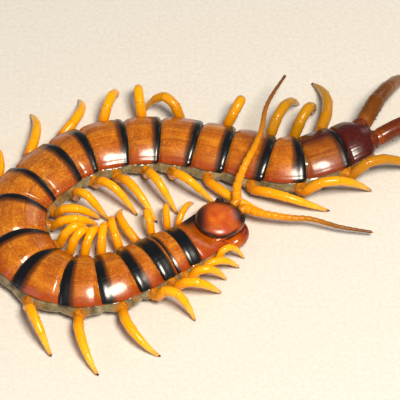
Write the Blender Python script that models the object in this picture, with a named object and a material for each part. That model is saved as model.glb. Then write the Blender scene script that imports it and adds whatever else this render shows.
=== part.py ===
"""A giant centipede at life size, resting in an open coil with its head inside the coil.

Lengths here are in millimetres, and MM turns them to metres when a mesh is made. The floor is z = 0, and
each foot stands on it with a small flat. A place on the trunk is given by its distance along the centreline
from the neck, its distance to the animal's left of that line, and its height.
"""

from dataclasses import dataclass
from math import copysign, cos, pi, radians, sin

import bmesh
import bpy
import numpy as np
from mathutils import Matrix, Vector

MM = 0.001
GAP = 0.3
UP = Vector((0.0, 0.0, 1.0))

# How far the whole model is moved so that its box is centred over the origin.
SHIFT = Vector((-1.507, 1.538, 0.0))

# How far ahead and behind a line's direction is measured, on the trunk and on a poison claw.
DIRECTION_SPAN = 0.8
CLAW_SPAN = 0.3

# The line that the trunk lies along, from the neck round the coil to the end of the last segment.
COIL = (
    (1.2, -7.3),
    (-1.5, -9.6),
    (-4.0, -11.1),
    (-11.6, -15.9),
    (-16.5, -17.8),
    (-22.0, -17.8),
    (-27.4, -14.8),
    (-30.7, -8.6),
    (-31.0, -2.4),
    (-28.6, 2.7),
    (-20.0, 10.4),
    (-7.6, 12.9),
    (4.6, 10.7),
    (14.3, 8.2),
    (20.4, 9.2),
    (26.5, 11.9),
    (29.3, 13.6),
)

# How far the tail is held up, and the distances from the neck between which it rises.
TAIL_LIFT = 1.5
TAIL_RISE = (94.0, 116.0)

# Each trunk segment's length along that line, and how many of them one node holds.
SEGMENT_LENGTHS = (
    3.8, 2.3, 2.7, 2.6, 4.2, 5.2, 5.2, 6.4, 6.2, 7.9, 5.4,
    7.0, 4.7, 6.8, 5.9, 6.6, 5.8, 7.2, 5.3, 7.0, 6.0,
)
SEGMENTS_IN_A_NODE = 3

# Half of a back plate's width, at the segments named first.
HALF_WIDTHS = ((1, 4.15), (3, 4.6), (5, 4.9), (7, 5.35), (17, 5.35), (19, 5.2), (20, 4.85), (21, 4.4))

# Heights over the floor that follow from a segment's half-width.
MARGIN_BASE = 2.0
MARGIN_RISE = 0.34
CROWN_RISE = 0.45

# A back plate's outline: share of its length, share of its half-width, and how far its top is lowered there.
# The first plate is a collar with no tucked front, and the last one is rounded off behind.
PLATE_STATIONS = (
    (0.0, 0.90, 0.45), (0.22, 0.97, 0.06), (0.60, 1.0, 0.0), (0.90, 1.0, 0.0), (1.0, 0.93, 0.04),
)
COLLAR_STATIONS = (
    (0.0, 1.0, 0.0), (0.32, 1.03, 0.0), (0.48, 1.04, 0.0),
    (0.7, 1.03, 0.0), (0.9, 1.02, 0.0), (1.0, 0.94, 0.04),
)
LAST_STATIONS = (
    (0.0, 0.96, 0.45), (0.22, 1.02, 0.06), (0.55, 1.0, 0.0),
    (0.8, 0.89, 0.12), (0.93, 0.74, 0.3), (1.0, 0.62, 0.45),
)

# Where a plate's top is measured across its half-width, how full its dome is, how thick it is, how far it
# runs under the plate before it and over the one behind, and how much of its top's lowering its underside
# follows.
PLATE_ACROSS = (1.0, 0.82, 0.5, 0.0, -0.5, -0.82, -1.0)
PLATE_FULLNESS = 0.8
PLATE_THICKNESS = 0.5
PLATE_TUCK = 0.6
PLATE_LIP = 0.25
UNDERSIDE_DROP = 0.25

# The trunk is flat under the head plate: distances from the neck, with shares of its full rise.
NECK_RISE = ((1.3, 0.16), (3.6, 1.0))

# The soft body between the plates. Its outline runs from its belly up its side: shares of the plates'
# half-width, with heights over the floor, and then heights under the plate's edge. Its top stays under the
# plate's middle. It is narrower between two segments, and more so behind the last one.
CORE_BELOW = ((0.55, 0.95), (0.94, 1.25), (1.09, 2.2))
CORE_ABOVE = ((0.98, -0.55), (0.80, 0.05))
CORE_CROWN_SHARE = 0.42
CORE_UNDER_CROWN = 0.6
CORE_WAIST = 0.90
CORE_MIDDLE = 1.0
CORE_END = 0.7

# The belly plates: their underside's height, their half-width as a share, their depth, and their outline as
# shares of the segment's length with shares of that width.
BELLY_HEIGHT = 0.75
BELLY_PLATE_WIDTH = 0.60
BELLY_PLATE_DEPTH = 1.0
BELLY_PLATE_BEVEL = 0.85
BELLY_PLATE_STATIONS = ((0.12, 0.85), (0.35, 1.0), (0.92, 0.9))

# The hip that each leg grows from. It sits further back on the last segments, as shares of their length.
HIP_PLACES = ((1, 0.7), (2, 0.6), (15, 0.6), (16, 0.5), (17, 0.6), (18, 0.78), (19, 0.9), (20, 0.9))
HIP_HEIGHT = 2.2
HIP_INSIDE = 0.45
HIP_OUTSIDE = 1.05
HIP_STUB = 0.65
HIP_THICKER = 1.18
HIP_SHARE_OF_TURN = 0.5
HIP_MOST_TURN = 45.0

# A leg's joints as shares of its length, and its radius there as a share of its radius at the hip. The legs
# inside the coil are a little thinner.
LEG_JOINTS = (0.0, 0.24, 0.46, 0.65, 0.82, 0.92, 1.0)
LEG_TAPER = (1.0, 0.97, 0.90, 0.75, 0.52, 0.37, 0.24)
LEG_LENGTHS = ((1, 8.5), (4, 10.8), (8, 12.2), (16, 12.8), (18, 14.6), (20, 15.5))
LEG_RADII = ((1, 0.64), (4, 0.86), (8, 0.92), (16, 0.94), (20, 1.05))
LEFT_LEG_SHARE = 0.9
LEG_SIDES = 6

# Each article is pinched at its start, and widest at a share of its length.
PINCH = 0.86
SWELL = 1.04
SWELL_AT = 0.7

# How a standing leg is bent: where its line's two pulls lie between hip and foot, how far they bow aside, how
# high they stand, and the least height of its skin. Its lift is found in a number of tries.
KNEE_NEAR = 0.30
KNEE_FAR = 0.72
BOW_PULL = 1.33
ANKLE_HEIGHT = 1.2
ANKLE_SHARE = 0.6
LEAST_HEIGHT = 0.05
LIFT_TRIES = 24

# How each leg stands: its sweep towards the tail in degrees, its reach over the floor, and how far it bows
# towards the tail on its way.
LEFT_LEGS = (
    (-61, 7.0, 0.0), (-28, 5.9, 0.2), (-24, 5.9, 0.3), (-16, 9.1, 1.4), (-24, 8.4, 0.9),
    (-26, 7.6, 0.1), (-22, 6.9, -0.2), (-8, 6.0, -0.5), (13, 6.0, -1.0), (16, 7.6, -1.8),
    (39, 7.3, -1.8), (13, 6.5, -1.2), (21, 8.8, -0.5), (25, 10.7, -0.1), (33, 8.9, -0.7),
    (66, 8.8, -1.3), (76, 12.9, -1.4), (94, 13.5, -1.1), (95, 12.0, -0.7), (82, 13.0, 0.6),
)
RIGHT_LEGS = (
    (-76, 5.0, -0.4), (-82, 6.8, 0.1), (-71, 6.2, 0.5), (-60, 7.4, 1.0), (-30, 7.0, -0.3),
    (-20, 9.7, 1.6), (-20, 10.5, 1.0), (-56, 9.5, 0.4), (-40, 7.1, 0.1), (-41, 7.3, 0.4),
    (36, 10.7, 1.8), (44, 11.3, 1.4), (46, 10.7, 1.9), (30, 8.9, 0.4), (1, 8.1, -0.5),
    (-68, 7.7, 0.6), (-6, 6.4, 2.2), (13, 10.8, 0.1), (32, 8.7, 0.9), (20, 14.0, 2.0),
)

# The stout last legs, which trail behind, and how each lies: its turn to the left of the trunk's way in
# degrees, its reach, and how far it bows aside.
LAST_LEG_JOINTS = (0.0, 0.30, 0.55, 0.76, 0.89, 0.96, 1.0)
LAST_LEG_TAPER = (1.0, 0.96, 0.88, 0.76, 0.56, 0.36, 0.16)
LAST_LEG_LENGTH = 19.0
LAST_LEG_RADIUS = 1.55
LAST_LEG_HEIGHT = 3.2
LAST_LEG_SIDES = 8
LAST_LEFT = (5.0, 17.6, 0.0)
LAST_RIGHT = (-29.0, 17.6, 0.0)

# Their hips: how far each is from the middle, how much of its leg's turn it takes, how far both spread, how
# far they stand out behind, how long they are, and how thick their root is.
LAST_LEFT_HIP = 1.5
LAST_RIGHT_HIP = 2.1
LAST_HIP_SHARE = 0.5
LAST_HIP_SPREAD = 6.0
LAST_HIP_STUB = 0.7
LAST_HIP_LENGTH = 3.6
LAST_HIP_TAPER = 0.95

# The head's own axes start on the floor under the neck, with x forward and y to the animal's left.
HEAD_TURN = 46.0

# The head's domed plate, which slopes down to the front. Its profile gives shares of its spread with heights.
HEAD_PLATE_CENTRE = 3.1
HEAD_PLATE_HALF_LENGTH = 4.3
HEAD_PLATE_HALF_WIDTH = 4.05
HEAD_PLATE_BASE = 4.1
HEAD_PLATE_SLOPE = 0.12
HEAD_PLATE_SIDES = 20
HEAD_PLATE_PROFILE = (
    (0.5, 0.0), (0.96, 0.0), (1.0, 0.25), (0.98, 0.7), (0.90, 1.25), (0.75, 1.64), (0.50, 1.9), (0.2, 2.0),
)

# The head under it: half-width, bottom and top at the trunk, and then each place forward with the same three.
HEAD_REAR = (2.9, 2.7, 3.9)
HEAD_STATIONS = (
    (1.6, 3.4, 2.7, 4.4), (3.4, 3.5, 2.7, 4.4), (5.2, 3.0, 2.7, 4.1),
    (6.3, 2.3, 2.8, 3.8), (6.9, 1.3, 2.9, 3.6),
)
OVAL_SIDES = 12
OVAL_SQUARENESS = 2.6

# The short palps, as places forward, out and up, with their radii there.
PALP_LINE = ((5.2, 1.5, 2.6), (6.6, 1.7, 2.3), (7.7, 1.3, 2.0), (8.3, 0.6, 1.9))
PALP_RADII = (0.45, 0.4, 0.32, 0.22)
PALP_SIDES = 5

# The plate under the head that carries the poison claws.
JAW_BASE_HALF_WIDTH = 2.3
JAW_BASE_BOTTOM = 0.8
JAW_BASE_TOP = 2.35
JAW_BASE_REAR = 0.85
JAW_BASE_STATIONS = ((1.3, 0.85), (3.0, 0.85), (3.9, 0.6))

# A poison claw's line from that plate, as places forward, out and up, with its radii there.
CLAW_LINE = (
    (1.5, 3.4, 1.5), (2.6, 3.95, 1.6), (4.0, 3.95, 1.6), (5.4, 3.25, 1.5), (6.5, 2.0, 1.45), (7.0, 0.5, 1.4),
)
CLAW_RADII = (0.95, 1.2, 1.2, 0.92, 0.5, 0.15)
CLAW_STUB_ROOT = (1.25, 1.3)
CLAW_SIDES = 8
CLAW_RINGS = 9

# A feeler's line in the same axes as the coil, with its height, and its articles.
LEFT_FEELER = (
    (6.3, -0.5, 3.7), (6.3, 1.2, 5.4), (7.6, 3.7, 7.8), (9.4, 7.3, 8.8),
    (10.6, 10.9, 9.2), (11.2, 15.0, 9.2), (12.5, 18.9, 8.8), (14.9, 24.2, 8.0),
)
RIGHT_FEELER = (
    (7.6, -2.2, 3.5), (10.5, -3.5, 3.6), (15.2, -4.1, 3.2),
    (18.7, -4.2, 3.0), (23.6, -5.4, 2.4), (29.0, -5.9, 1.6),
)
FEELER_ARTICLES = 19
FEELER_RADIUS = 0.85
FEELER_TIP_RADIUS = 0.25
FEELER_SIDES = 6
FEELER_THINNING = 0.7
SOCKET_ROOT = (6.2, 0.95, 3.3)

# The eyes of one side: the place of their low mound, forward and out, its height over the plate's edge, its
# half-lengths, how far it is turned outwards, and the place of each lens along and over it.
EYE_PLACE = (5.85, 2.75)
EYE_HEIGHT = 0.85
EYE_MOUND = (0.8, 0.42, 0.5)
EYE_TURN = 48.0
EYE_FINESSE = 2
EYE_LENSES = ((0.4, 0.22), (0.02, 0.3), (-0.36, 0.2), (0.1, -0.12))
EYE_LENS_RADIUS = 0.17
EYE_LENS_HEIGHT = 0.32

# The sharpest bend that is shaded smooth, in degrees.
SHARP_ANGLE = 50.0

# Each finish: its colour and its roughness.
FINISHES = {
    "banded_shell": ((0.62, 0.24, 0.03), 0.3),
    "head_shell": ((0.45, 0.11, 0.02), 0.3),
    "claw_horn": ((0.28, 0.04, 0.01), 0.25),
    "leg_horn": ((0.90, 0.42, 0.03), 0.35),
    "last_leg_horn": ((0.22, 0.05, 0.01), 0.35),
    "feeler_horn": ((0.80, 0.36, 0.04), 0.4),
    "eye_lens": ((0.02, 0.01, 0.01), 0.1),
}


def along(pairs, number):
    """Reads a value between the (number, value) pairs given for some of the segments."""
    numbers, values = zip(*pairs)
    return float(np.interp(number, numbers, values))


def smooth_curve(points, steps=16):
    """Points of a Catmull-Rom curve that passes through the given ones."""
    points = [Vector(point) for point in points]
    padded = [2 * points[0] - points[1], *points, 2 * points[-1] - points[-2]]
    curve = []
    for a, b, c, d in zip(padded, padded[1:], padded[2:], padded[3:]):
        for step in range(steps):
            t = step / steps
            bend = (2 * a - 5 * b + 4 * c - d) * t**2 + (3 * b - a - 3 * c + d) * t**3
            curve.append(0.5 * (2 * b + (c - a) * t + bend))
    curve.append(points[-1])
    return curve


def bezier_curve(start, first, second, end, steps=24):
    """Points of a cubic Bezier curve."""
    curve = []
    for step in range(steps + 1):
        t = step / steps
        u = 1 - t
        curve.append(start * u**3 + first * 3 * u * u * t + second * 3 * u * t * t + end * t**3)
    return curve


class Route:
    """A line through points, measured by its length."""

    def __init__(self, points):
        self.points = points
        steps = [(b - a).length for a, b in zip(points, points[1:])]
        self.marks = np.concatenate(([0.0], np.cumsum(steps)))
        self.length = float(self.marks[-1])

    def at(self, distance):
        """The point this far along, going straight on past either end."""
        found = int(np.searchsorted(self.marks, distance)) - 1
        first = min(max(found, 0), len(self.points) - 2)
        share = (distance - self.marks[first]) / (self.marks[first + 1] - self.marks[first])
        return self.points[first] + (self.points[first + 1] - self.points[first]) * float(share)

    def direction(self, distance, span=DIRECTION_SPAN):
        """The direction of travel there, evened out over a short span."""
        return (self.at(distance + span) - self.at(distance - span)).normalized()


TRUNK = Route(smooth_curve([(x, y, 0.0) for x, y in COIL]))
TRUNK_END = sum(SEGMENT_LENGTHS)


def left_of(distance):
    """The level direction to the animal's left at this distance from the neck."""
    return TRUNK.direction(distance).cross(UP)


def tail_lift(distance):
    """How far the trunk is raised at this distance."""
    start, end = TAIL_RISE
    share = min(max((distance - start) / (end - start), 0.0), 1.0)
    return TAIL_LIFT * share * share * (3 - 2 * share)


def place(distance, left, height):
    """A point of the trunk, in the model's axes. Its height is counted from the trunk's own level."""
    return TRUNK.at(distance) + left_of(distance) * left + UP * (height + tail_lift(distance))


@dataclass(frozen=True)
class Segment:
    """A trunk segment, numbered from 1 at the neck, between two distances along the centreline."""

    number: int
    front: float
    rear: float

    @property
    def length(self):
        return self.rear - self.front

    @property
    def half_width(self):
        return along(HALF_WIDTHS, self.number)

    @property
    def margin(self):
        """The height of its back plate's side edge."""
        return MARGIN_BASE + MARGIN_RISE * self.half_width

    @property
    def crown(self):
        """The height of its back plate's middle."""
        return self.margin + CROWN_RISE * self.half_width

    @property
    def hips(self):
        """The distance at which its legs grow."""
        return self.front + along(HIP_PLACES, self.number) * self.length


def all_segments():
    """The segments from the neck to the tail."""
    found = []
    front = 0.0
    for number, length in enumerate(SEGMENT_LENGTHS, start=1):
        found.append(Segment(number, front, front + length))
        front += length
    return found


def mesh_from_rings(name, rings):
    """A closed mesh whose skin joins each ring of points to the next, with a flat cap at both ends."""
    mesh = bpy.data.meshes.new(name)
    shape = bmesh.new()
    loops = [[shape.verts.new((point + SHIFT) * MM) for point in ring] for ring in rings]
    for loop, following in zip(loops, loops[1:]):
        for k in range(len(loop)):
            shape.faces.new((loop[k - 1], loop[k], following[k], following[k - 1]))
    shape.faces.new(reversed(loops[0]))
    shape.faces.new(loops[-1])
    bmesh.ops.recalc_face_normals(shape, faces=shape.faces)
    shape.to_mesh(mesh)
    shape.free()
    return mesh


def solid(name, rings, material):
    """An object skinned over rings of points."""
    mesh = mesh_from_rings(name, rings)
    mesh.materials.append(material)
    body = bpy.data.objects.new(name, mesh)
    bpy.context.scene.collection.objects.link(body)
    return body


def keep_largest_surface(mesh):
    """Drops every closed surface of a mesh but its largest."""
    shape = bmesh.new()
    shape.from_mesh(mesh)
    waiting = set(shape.faces)
    surfaces = []
    while waiting:
        surface = {waiting.pop()}
        edge_of_growth = set(surface)
        while edge_of_growth:
            beside = {face for grown in edge_of_growth for edge in grown.edges for face in edge.link_faces}
            edge_of_growth = beside & waiting
            waiting -= edge_of_growth
            surface |= edge_of_growth
        surfaces.append(surface)
    surfaces.sort(key=lambda faces: sum(face.calc_area() for face in faces))
    for surface in surfaces[:-1]:
        bmesh.ops.delete(shape, geom=list(surface), context="FACES")
    shape.to_mesh(mesh)
    shape.free()


def applied(body, modifier):
    """Gives an object the mesh that its one modifier makes."""
    mesh = bpy.data.meshes.new_from_object(body.evaluated_get(bpy.context.evaluated_depsgraph_get()))
    body.modifiers.remove(modifier)
    body.data = mesh
    keep_largest_surface(mesh)


def fuse(body, others):
    """Joins closed pieces, each sunk into the first, into its one closed surface."""
    group = bpy.data.collections.new(body.name + "_pieces")
    bpy.context.scene.collection.children.link(group)
    for other in others:
        group.objects.link(other)
    join = body.modifiers.new("Join", "BOOLEAN")
    join.operation = "UNION"
    join.operand_type = "COLLECTION"
    join.collection = group
    join.solver = "EXACT"
    applied(body, join)
    for other in others:
        bpy.data.objects.remove(other)
    bpy.data.collections.remove(group)


def cut(body, cutter):
    """Takes the cutter's shape out of a body."""
    pit = body.modifiers.new("Pit", "BOOLEAN")
    pit.operation = "DIFFERENCE"
    pit.object = cutter
    pit.solver = "EXACT"
    applied(body, pit)
    bpy.data.objects.remove(cutter)


def shade(body):
    """Shades a body smooth, with its real edges left sharp."""
    body.data.shade_smooth()
    body.data.set_sharp_from_angle(angle=radians(SHARP_ANGLE))


def finish(name):
    """A glossy or satin horn-like surface in one colour."""
    colour, roughness = FINISHES[name]
    material = bpy.data.materials.new(name)
    material.use_nodes = True
    shader = material.node_tree.nodes["Principled BSDF"]
    shader.inputs["Base Color"].default_value = (*colour, 1.0)
    shader.inputs["Roughness"].default_value = roughness
    shader.inputs["Metallic"].default_value = 0.0
    return material


def squared_oval(half_width, bottom, top):
    """Pairs of sideways and upward places round an oval with flattened sides."""
    middle = (bottom + top) / 2
    half_height = (top - bottom) / 2
    points = []
    for k in range(OVAL_SIDES):
        angle = 2 * pi * (k + 0.5) / OVAL_SIDES
        across = copysign(abs(cos(angle)) ** (2 / OVAL_SQUARENESS), cos(angle))
        upward = copysign(abs(sin(angle)) ** (2 / OVAL_SQUARENESS), sin(angle))
        points.append((half_width * across, middle + half_height * upward))
    return points


def limb_ring(centre, along_limb, across, radius, sides):
    """Points round a limb, square to its direction."""
    side = (across - along_limb * across.dot(along_limb)).normalized()
    upright = side.cross(along_limb)
    turns = [2 * pi * (k + 0.5) / sides for k in range(sides)]
    return [centre + (side * cos(turn) + upright * sin(turn)) * radius for turn in turns]


def jointed_rings(joints, radii, across, sides):
    """Rings of a jointed limb: narrow at each joint and widest near the far end of each article."""
    ways = [(b - a).normalized() for a, b in zip(joints, joints[1:])]
    rings = []
    for k, way in enumerate(ways):
        turned = (way + ways[max(k - 1, 0)]).normalized()
        swell = joints[k].lerp(joints[k + 1], SWELL_AT)
        swell_radius = (radii[k] + (radii[k + 1] - radii[k]) * SWELL_AT) * SWELL
        rings.append(limb_ring(joints[k], turned, across, radii[k] * PINCH, sides))
        rings.append(limb_ring(swell, way, across, swell_radius, sides))
    return rings


@dataclass(frozen=True)
class Limb:
    """A leg that stands: its root, the level directions outwards and tailwards there, and its stance."""

    root: Vector
    outwards: Vector
    tailwards: Vector
    sweep: float
    reach: float
    bow: float
    length: float
    radius: float

    def level(self, degrees):
        """The level direction swept this far towards the tail."""
        return self.outwards * cos(radians(degrees)) + self.tailwards * sin(radians(degrees))

    @property
    def foot(self):
        flat = self.root + self.level(self.sweep) * self.reach
        return Vector((flat.x, flat.y, 0.0))

    def route(self, lift):
        """The leg's line when its middle is raised by this much."""
        ahead = self.level(self.sweep) * self.reach
        aside = self.level(self.sweep + 90) * self.bow
        first = self.root + ahead * KNEE_NEAR + aside * BOW_PULL + UP * lift
        second = self.root + ahead * KNEE_FAR + aside * BOW_PULL
        second.z = ANKLE_HEIGHT + lift * ANKLE_SHARE
        return Route(bezier_curve(self.root, first, second, self.foot))

    def standing_route(self):
        """The line whose length is the leg's own, found by halving the range of lifts."""
        low, high = 0.0, self.length * 2
        for _ in range(LIFT_TRIES):
            lift = (low + high) / 2
            if self.route(lift).length < self.length:
                low = lift
            else:
                high = lift
        return self.route(low)

    def joints(self, shares):
        route = self.standing_route()
        return [route.at(route.length * share) for share in shares]


def leg_radius(segment, side):
    """A leg's radius at its hip."""
    share = LEFT_LEG_SHARE if side > 0 else 1.0
    return share * along(LEG_RADII, segment.number)


def hip_way(segment, side, stance):
    """The direction in which a hip points: part of the way towards where its leg goes."""
    sweep, reach, bow = stance
    start = sweep + np.degrees(np.arctan2(bow * BOW_PULL, reach * KNEE_NEAR))
    turn = radians(float(np.clip(start * HIP_SHARE_OF_TURN, -HIP_MOST_TURN, HIP_MOST_TURN)))
    outwards = left_of(segment.hips) * side
    return outwards * cos(turn) + TRUNK.direction(segment.hips) * sin(turn)


def hip_end(segment, side, stance):
    """The middle of a hip's flat outer face."""
    at_skin = place(segment.hips, side * segment.half_width * HIP_OUTSIDE, HIP_HEIGHT)
    return at_skin + hip_way(segment, side, stance) * HIP_STUB


def hip(segment, side, stance, material):
    """A hip, from inside the trunk to its flat outer face."""
    outwards = left_of(segment.hips) * side
    way = hip_way(segment, side, stance)
    halfway = (outwards + way).normalized()
    inside = place(segment.hips, side * segment.half_width * HIP_INSIDE, HIP_HEIGHT)
    at_skin = place(segment.hips, side * segment.half_width * HIP_OUTSIDE, HIP_HEIGHT)
    radius = leg_radius(segment, side)
    rings = [
        limb_ring(inside, outwards, UP, radius, LEG_SIDES),
        limb_ring(at_skin, halfway, UP, radius * HIP_THICKER, LEG_SIDES),
        limb_ring(at_skin + way * HIP_STUB, way, UP, radius, LEG_SIDES),
    ]
    return solid("hip", rings, material)


def walking_leg(name, segment, side, stance, material):
    """A leg from its hip's face to its claw, which stands on the floor."""
    way = hip_way(segment, side, stance)
    root = hip_end(segment, side, stance) + way * GAP
    limb = Limb(
        root,
        left_of(segment.hips) * side,
        TRUNK.direction(segment.hips),
        *stance,
        along(LEG_LENGTHS, segment.number),
        leg_radius(segment, side),
    )
    return standing_leg(name, limb, way, LEG_JOINTS, LEG_TAPER, LEG_SIDES, material)


def standing_leg(name, limb, way, joint_shares, taper, sides, material):
    """The solid of a leg: its first face lies against the hip, and its last is flat on the floor."""
    joints = limb.joints(joint_shares)
    radii = [limb.radius * share for share in taper]
    across = limb.level(limb.sweep + 90)
    rings = jointed_rings(joints, radii, across, sides)
    rings[0] = limb_ring(limb.root, way, UP, limb.radius, sides)
    for ring in rings:
        for point in ring:
            point.z = max(point.z, LEAST_HEIGHT)
    rings.append(limb_ring(limb.foot, -UP, across, radii[-1], sides))
    return solid(name, rings, material)


def rise_at(segment, distance):
    """How far the middle of the back stands over its edges at this distance."""
    return (segment.crown - segment.margin) * along(NECK_RISE, distance)


def plate_ring(segment, distance, width_share, drop):
    """Points round a back plate: its domed top from left to right, then its flat underside."""
    half = segment.half_width * width_share
    rise = rise_at(segment, distance)
    ring = []
    for across in PLATE_ACROSS:
        height = segment.margin + rise * cos(across * pi / 2) ** PLATE_FULLNESS - drop
        ring.append(place(distance, half * across, height))
    under = segment.margin - PLATE_THICKNESS - drop * UNDERSIDE_DROP
    ring.append(place(distance, -half, under))
    ring.append(place(distance, half, under))
    return ring


def back_plate(segment, first, last, material):
    """The raised plate over a segment, whose front runs under the plate before it in the same node."""
    start = segment.front + GAP / 2 if segment is first else segment.front - PLATE_TUCK
    end = segment.rear - GAP / 2 if segment is last else segment.rear + PLATE_LIP
    stations = {1: COLLAR_STATIONS, len(SEGMENT_LENGTHS): LAST_STATIONS}.get(segment.number, PLATE_STATIONS)
    rings = [plate_ring(segment, start + (end - start) * at, share, drop) for at, share, drop in stations]
    return solid("back_plate", rings, material)


def belly_plate(segment, material):
    """The flat plate under a segment."""
    rings = []
    for share, width_share in BELLY_PLATE_STATIONS:
        distance = segment.front + segment.length * share
        half = segment.half_width * BELLY_PLATE_WIDTH * width_share
        top = BELLY_HEIGHT + BELLY_PLATE_DEPTH
        inner = half * BELLY_PLATE_BEVEL
        corners = ((half, BELLY_HEIGHT), (inner, top), (-inner, top), (-half, BELLY_HEIGHT))
        rings.append([place(distance, left, height) for left, height in corners])
    return solid("belly_plate", rings, material)


def core_ring(segment, distance, width_share):
    """Points round the soft body under a segment's plates."""
    flank = list(CORE_BELOW)
    flank += [(share, segment.margin + above) for share, above in CORE_ABOVE]
    flank.append((CORE_CROWN_SHARE, segment.margin + rise_at(segment, distance) - CORE_UNDER_CROWN))
    outline = flank + [(-share, height) for share, height in reversed(flank)]
    half = segment.half_width * width_share
    return [place(distance, half * share, height) for share, height in outline]


def trunk_length(name, segments, material):
    """A few segments of the trunk as one body: the core with its plates and hips."""
    first, last = segments[0], segments[-1]
    rings = [core_ring(first, first.front + GAP / 2, CORE_WAIST)]
    for segment in segments:
        rings.append(core_ring(segment, segment.front + segment.length / 2, CORE_MIDDLE))
        end = last.rear - GAP / 2 if segment is last else segment.rear
        waist = CORE_END if segment.number == len(SEGMENT_LENGTHS) else CORE_WAIST
        rings.append(core_ring(segment, end, waist))
    body = solid(name, rings, material)
    pieces = []
    for segment in segments:
        pieces.append(back_plate(segment, first, last, material))
        pieces.append(belly_plate(segment, material))
        if segment.number <= len(LEFT_LEGS):
            for side, stances in ((1, LEFT_LEGS), (-1, RIGHT_LEGS)):
                pieces.append(hip(segment, side, stances[segment.number - 1], material))
        else:
            pieces += [last_hip(side, material) for side in (1, -1)]
    fuse(body, pieces)
    return body


def last_way(side):
    """The level direction in which a last leg leaves the trunk."""
    turn = (LAST_LEFT if side > 0 else LAST_RIGHT)[0]
    back = TRUNK.direction(TRUNK_END)
    left = left_of(TRUNK_END)
    limited = radians(turn * LAST_HIP_SHARE + side * LAST_HIP_SPREAD)
    return back * cos(limited) + left * sin(limited)


def last_hip_end(side):
    """The middle of the flat face that a last leg grows from."""
    left = LAST_LEFT_HIP if side > 0 else -LAST_RIGHT_HIP
    return place(TRUNK_END, left, LAST_LEG_HEIGHT) + last_way(side) * LAST_HIP_STUB


def last_hip(side, material):
    """The thick hip of a last leg, at the trunk's end."""
    way = last_way(side)
    end = last_hip_end(side)
    rings = [
        limb_ring(end - way * LAST_HIP_LENGTH, way, UP, LAST_LEG_RADIUS * LAST_HIP_TAPER, LAST_LEG_SIDES),
        limb_ring(end, way, UP, LAST_LEG_RADIUS, LAST_LEG_SIDES),
    ]
    return solid("last_hip", rings, material)


def last_leg(name, side, material):
    """A stout last leg, trailing behind."""
    turn, reach, bow = LAST_LEFT if side > 0 else LAST_RIGHT
    way = last_way(side)
    root = last_hip_end(side) + way * GAP
    back, left = TRUNK.direction(TRUNK_END), left_of(TRUNK_END)
    limb = Limb(root, back, left, turn, reach, bow, LAST_LEG_LENGTH, LAST_LEG_RADIUS)
    return standing_leg(name, limb, way, LAST_LEG_JOINTS, LAST_LEG_TAPER, LAST_LEG_SIDES, material)


HEAD_FORWARD = Vector((cos(radians(HEAD_TURN)), sin(radians(HEAD_TURN)), 0.0))
HEAD_LEFT = UP.cross(HEAD_FORWARD)


def head_place(forward, left, height):
    """A point given on the head's own axes."""
    return TRUNK.at(0.0) + HEAD_FORWARD * forward + HEAD_LEFT * left + UP * height


def plate_height(forward):
    """The height of the head plate's underside, which slopes down to the front."""
    return HEAD_PLATE_BASE - HEAD_PLATE_SLOPE * (forward - HEAD_PLATE_CENTRE + HEAD_PLATE_HALF_LENGTH)


def head_plate(material):
    """The nearly round plate on the head."""
    rings = []
    for spread, rise in HEAD_PLATE_PROFILE:
        ring = []
        for k in range(HEAD_PLATE_SIDES):
            turn = 2 * pi * (k + 0.5) / HEAD_PLATE_SIDES
            forward = HEAD_PLATE_CENTRE + HEAD_PLATE_HALF_LENGTH * spread * cos(turn)
            left = HEAD_PLATE_HALF_WIDTH * spread * sin(turn)
            ring.append(head_place(forward, left, plate_height(forward) + rise))
        rings.append(ring)
    return solid("head_plate", rings, material)


def feeler_start(side):
    """Where a feeler leaves its socket, and its direction there."""
    line = [Vector(point) for point in (LEFT_FEELER if side > 0 else RIGHT_FEELER)]
    route = Route(smooth_curve(line))
    return route, route.direction(FEELER_RADIUS)


def feeler_socket(side, material):
    """The short cup that a feeler grows from."""
    route, way = feeler_start(side)
    forward, out, height = SOCKET_ROOT
    inside = head_place(forward, side * out, height)
    rings = [
        limb_ring(inside, HEAD_FORWARD, HEAD_LEFT, FEELER_RADIUS, FEELER_SIDES),
        limb_ring(route.at(0.0) - way * GAP, way, HEAD_LEFT, FEELER_RADIUS, FEELER_SIDES),
    ]
    return solid("socket", rings, material)


def feeler(name, side, material):
    """A feeler of bead-like articles that thin towards its tip."""
    route, way = feeler_start(side)
    shares = [k / FEELER_ARTICLES for k in range(FEELER_ARTICLES + 1)]
    joints = [route.at(route.length * share) for share in shares]
    radii = [FEELER_RADIUS + (FEELER_TIP_RADIUS - FEELER_RADIUS) * share**FEELER_THINNING for share in shares]
    rings = jointed_rings(joints, radii, HEAD_LEFT, FEELER_SIDES)
    rings[0] = limb_ring(joints[0], way, HEAD_LEFT, FEELER_RADIUS, FEELER_SIDES)
    end_way = (joints[-1] - joints[-2]).normalized()
    rings.append(limb_ring(joints[-1], end_way, HEAD_LEFT, radii[-1], FEELER_SIDES))
    return solid(name, rings, material)


def rear_ring(half_width, bottom, top):
    """Points of a face of the head that lies against the trunk's front."""
    return [place(-GAP / 2, left, height) for left, height in squared_oval(half_width, bottom, top)]


def head(material):
    """The head capsule with its plate, feeler sockets and palps."""
    rings = [rear_ring(*HEAD_REAR)]
    for forward, half_width, bottom, top in HEAD_STATIONS:
        oval = squared_oval(half_width, bottom, top)
        rings.append([head_place(forward, left, height) for left, height in oval])
    body = solid("head", rings, material)
    pieces = [head_plate(material)]
    pieces += [feeler_socket(side, material) for side in (1, -1)]
    pieces += [palp(side, material) for side in (1, -1)]
    fuse(body, pieces)
    return body


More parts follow.
